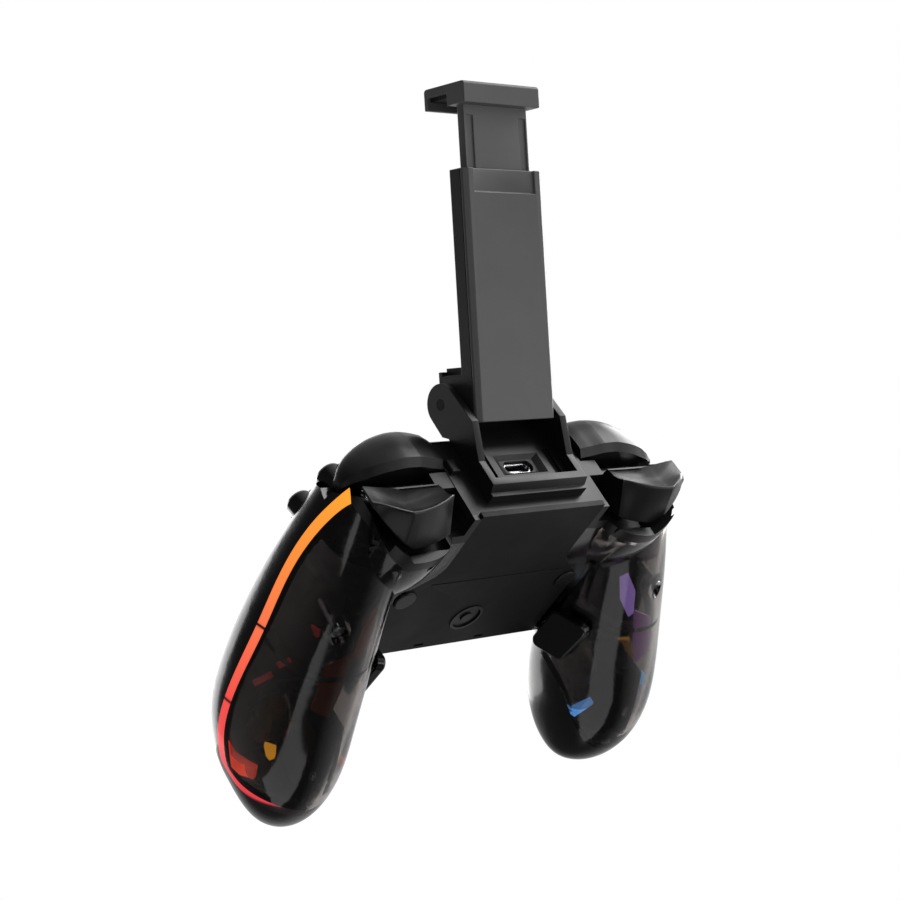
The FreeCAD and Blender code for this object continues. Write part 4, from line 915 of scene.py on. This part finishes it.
scene.view_settings.view_transform = "Standard"
WHITE = (1.0, 1.0, 1.0, 1.0)
BRIGHT_SIDE = Vector((-0.9, 0.2, 0.4)).normalized()
# How squarely a direction looks to the bright side where the light starts to rise and where it is full
RISE_START = -0.1
RISE_END = 0.9
BRIGHT_LEVEL = 0.9
DARK_LEVEL = 0.06
world = bpy.data.worlds.new("studio")
scene.world = world
world.use_nodes = True
sky = world.node_tree
sky.nodes.clear()
rays = add(sky, "ShaderNodeLightPath")
seen = add(sky, "ShaderNodeMath", {0: rays.outputs["Is Camera Ray"], 1: rays.outputs["Is Transmission Ray"]},
           operation="MAXIMUM")
towards = add(sky, "ShaderNodeTexCoord").outputs["Generated"]
facing = add(sky, "ShaderNodeVectorMath", {0: towards, 1: BRIGHT_SIDE}, operation="DOT_PRODUCT")
level = add(sky, "ShaderNodeMapRange", {
    "Value": facing.outputs["Value"], "From Min": RISE_START, "From Max": RISE_END,
    "To Min": DARK_LEVEL, "To Max": BRIGHT_LEVEL})
light = add(sky, "ShaderNodeBackground", {"Color": WHITE, "Strength": level.outputs["Result"]})
plain = add(sky, "ShaderNodeBackground", {"Color": WHITE, "Strength": 1.0})
both = add(sky, "ShaderNodeMixShader", {
    "Fac": seen.outputs["Value"], 1: light.outputs["Background"], 2: plain.outputs["Background"]})
add(sky, "ShaderNodeOutputWorld", {"Surface": both.outputs["Shader"]})

MIDDLE = Vector((0.0, 0.0, 0.03))
# Softboxes: name, place, width and height in metres, and watts
SOFTBOXES = (
    ("key_lamp", (-0.85, 0.9, 0.2), 0.6, 0.6, 6.5),
    ("side_lamp", (-1.2, 0.1, 0.5), 0.7, 0.7, 8.0),
    ("top_lamp", (-0.1, -0.5, 1.0), 1.3, 0.7, 7.0),
    ("low_lamp", (-0.6, 0.3, -0.9), 0.7, 0.7, 2.5),
    ("grip_lamp", (0.35, -0.75, -0.85), 0.9, 1.2, 2.6),
    ("fill_lamp", (0.9, 0.6, -0.9), 0.9, 0.9, 2.5),
)


def softbox(name, spot, width, height, power):
    """Softbox that looks at the middle of the part."""
    data = bpy.data.lights.new(name, "AREA")
    data.shape = "RECTANGLE"
    data.size = width
    data.size_y = height
    data.energy = power
    lamp = bpy.data.objects.new(name, data)
    scene.collection.objects.link(lamp)
    lamp.location = spot
    lamp.rotation_euler = (MIDDLE - Vector(spot)).to_track_quat("-Z", "Y").to_euler()


for row in SOFTBOXES:
    softbox(*row)

floor_finish, tree = material("studio_floor")
pale = add(tree, "ShaderNodeBsdfDiffuse", {"Color": srgb("#F2F2F2")})
clear = add(tree, "ShaderNodeBsdfTransparent")
under = add(tree, "ShaderNodeNewGeometry").outputs["Backfacing"]
floor_mix = add(tree, "ShaderNodeMixShader", {
    "Fac": under, 1: pale.outputs["BSDF"], 2: clear.outputs["BSDF"]})
finish_with(tree, floor_mix.outputs["Shader"])
FLOOR_REACH = 3.0
corners = [(x * FLOOR_REACH, y * FLOOR_REACH, 0.0) for x, y in ((-1, -1), (1, -1), (1, 1), (-1, 1))]
floor_mesh = bpy.data.meshes.new("floor")
floor_mesh.from_pydata(corners, [], [(0, 1, 2, 3)])
floor = bpy.data.objects.new("floor", floor_mesh)
scene.collection.objects.link(floor)
floor_mesh.materials.append(floor_finish)
floor.visible_shadow = False
floor.visible_diffuse = False
floor.visible_glossy = False
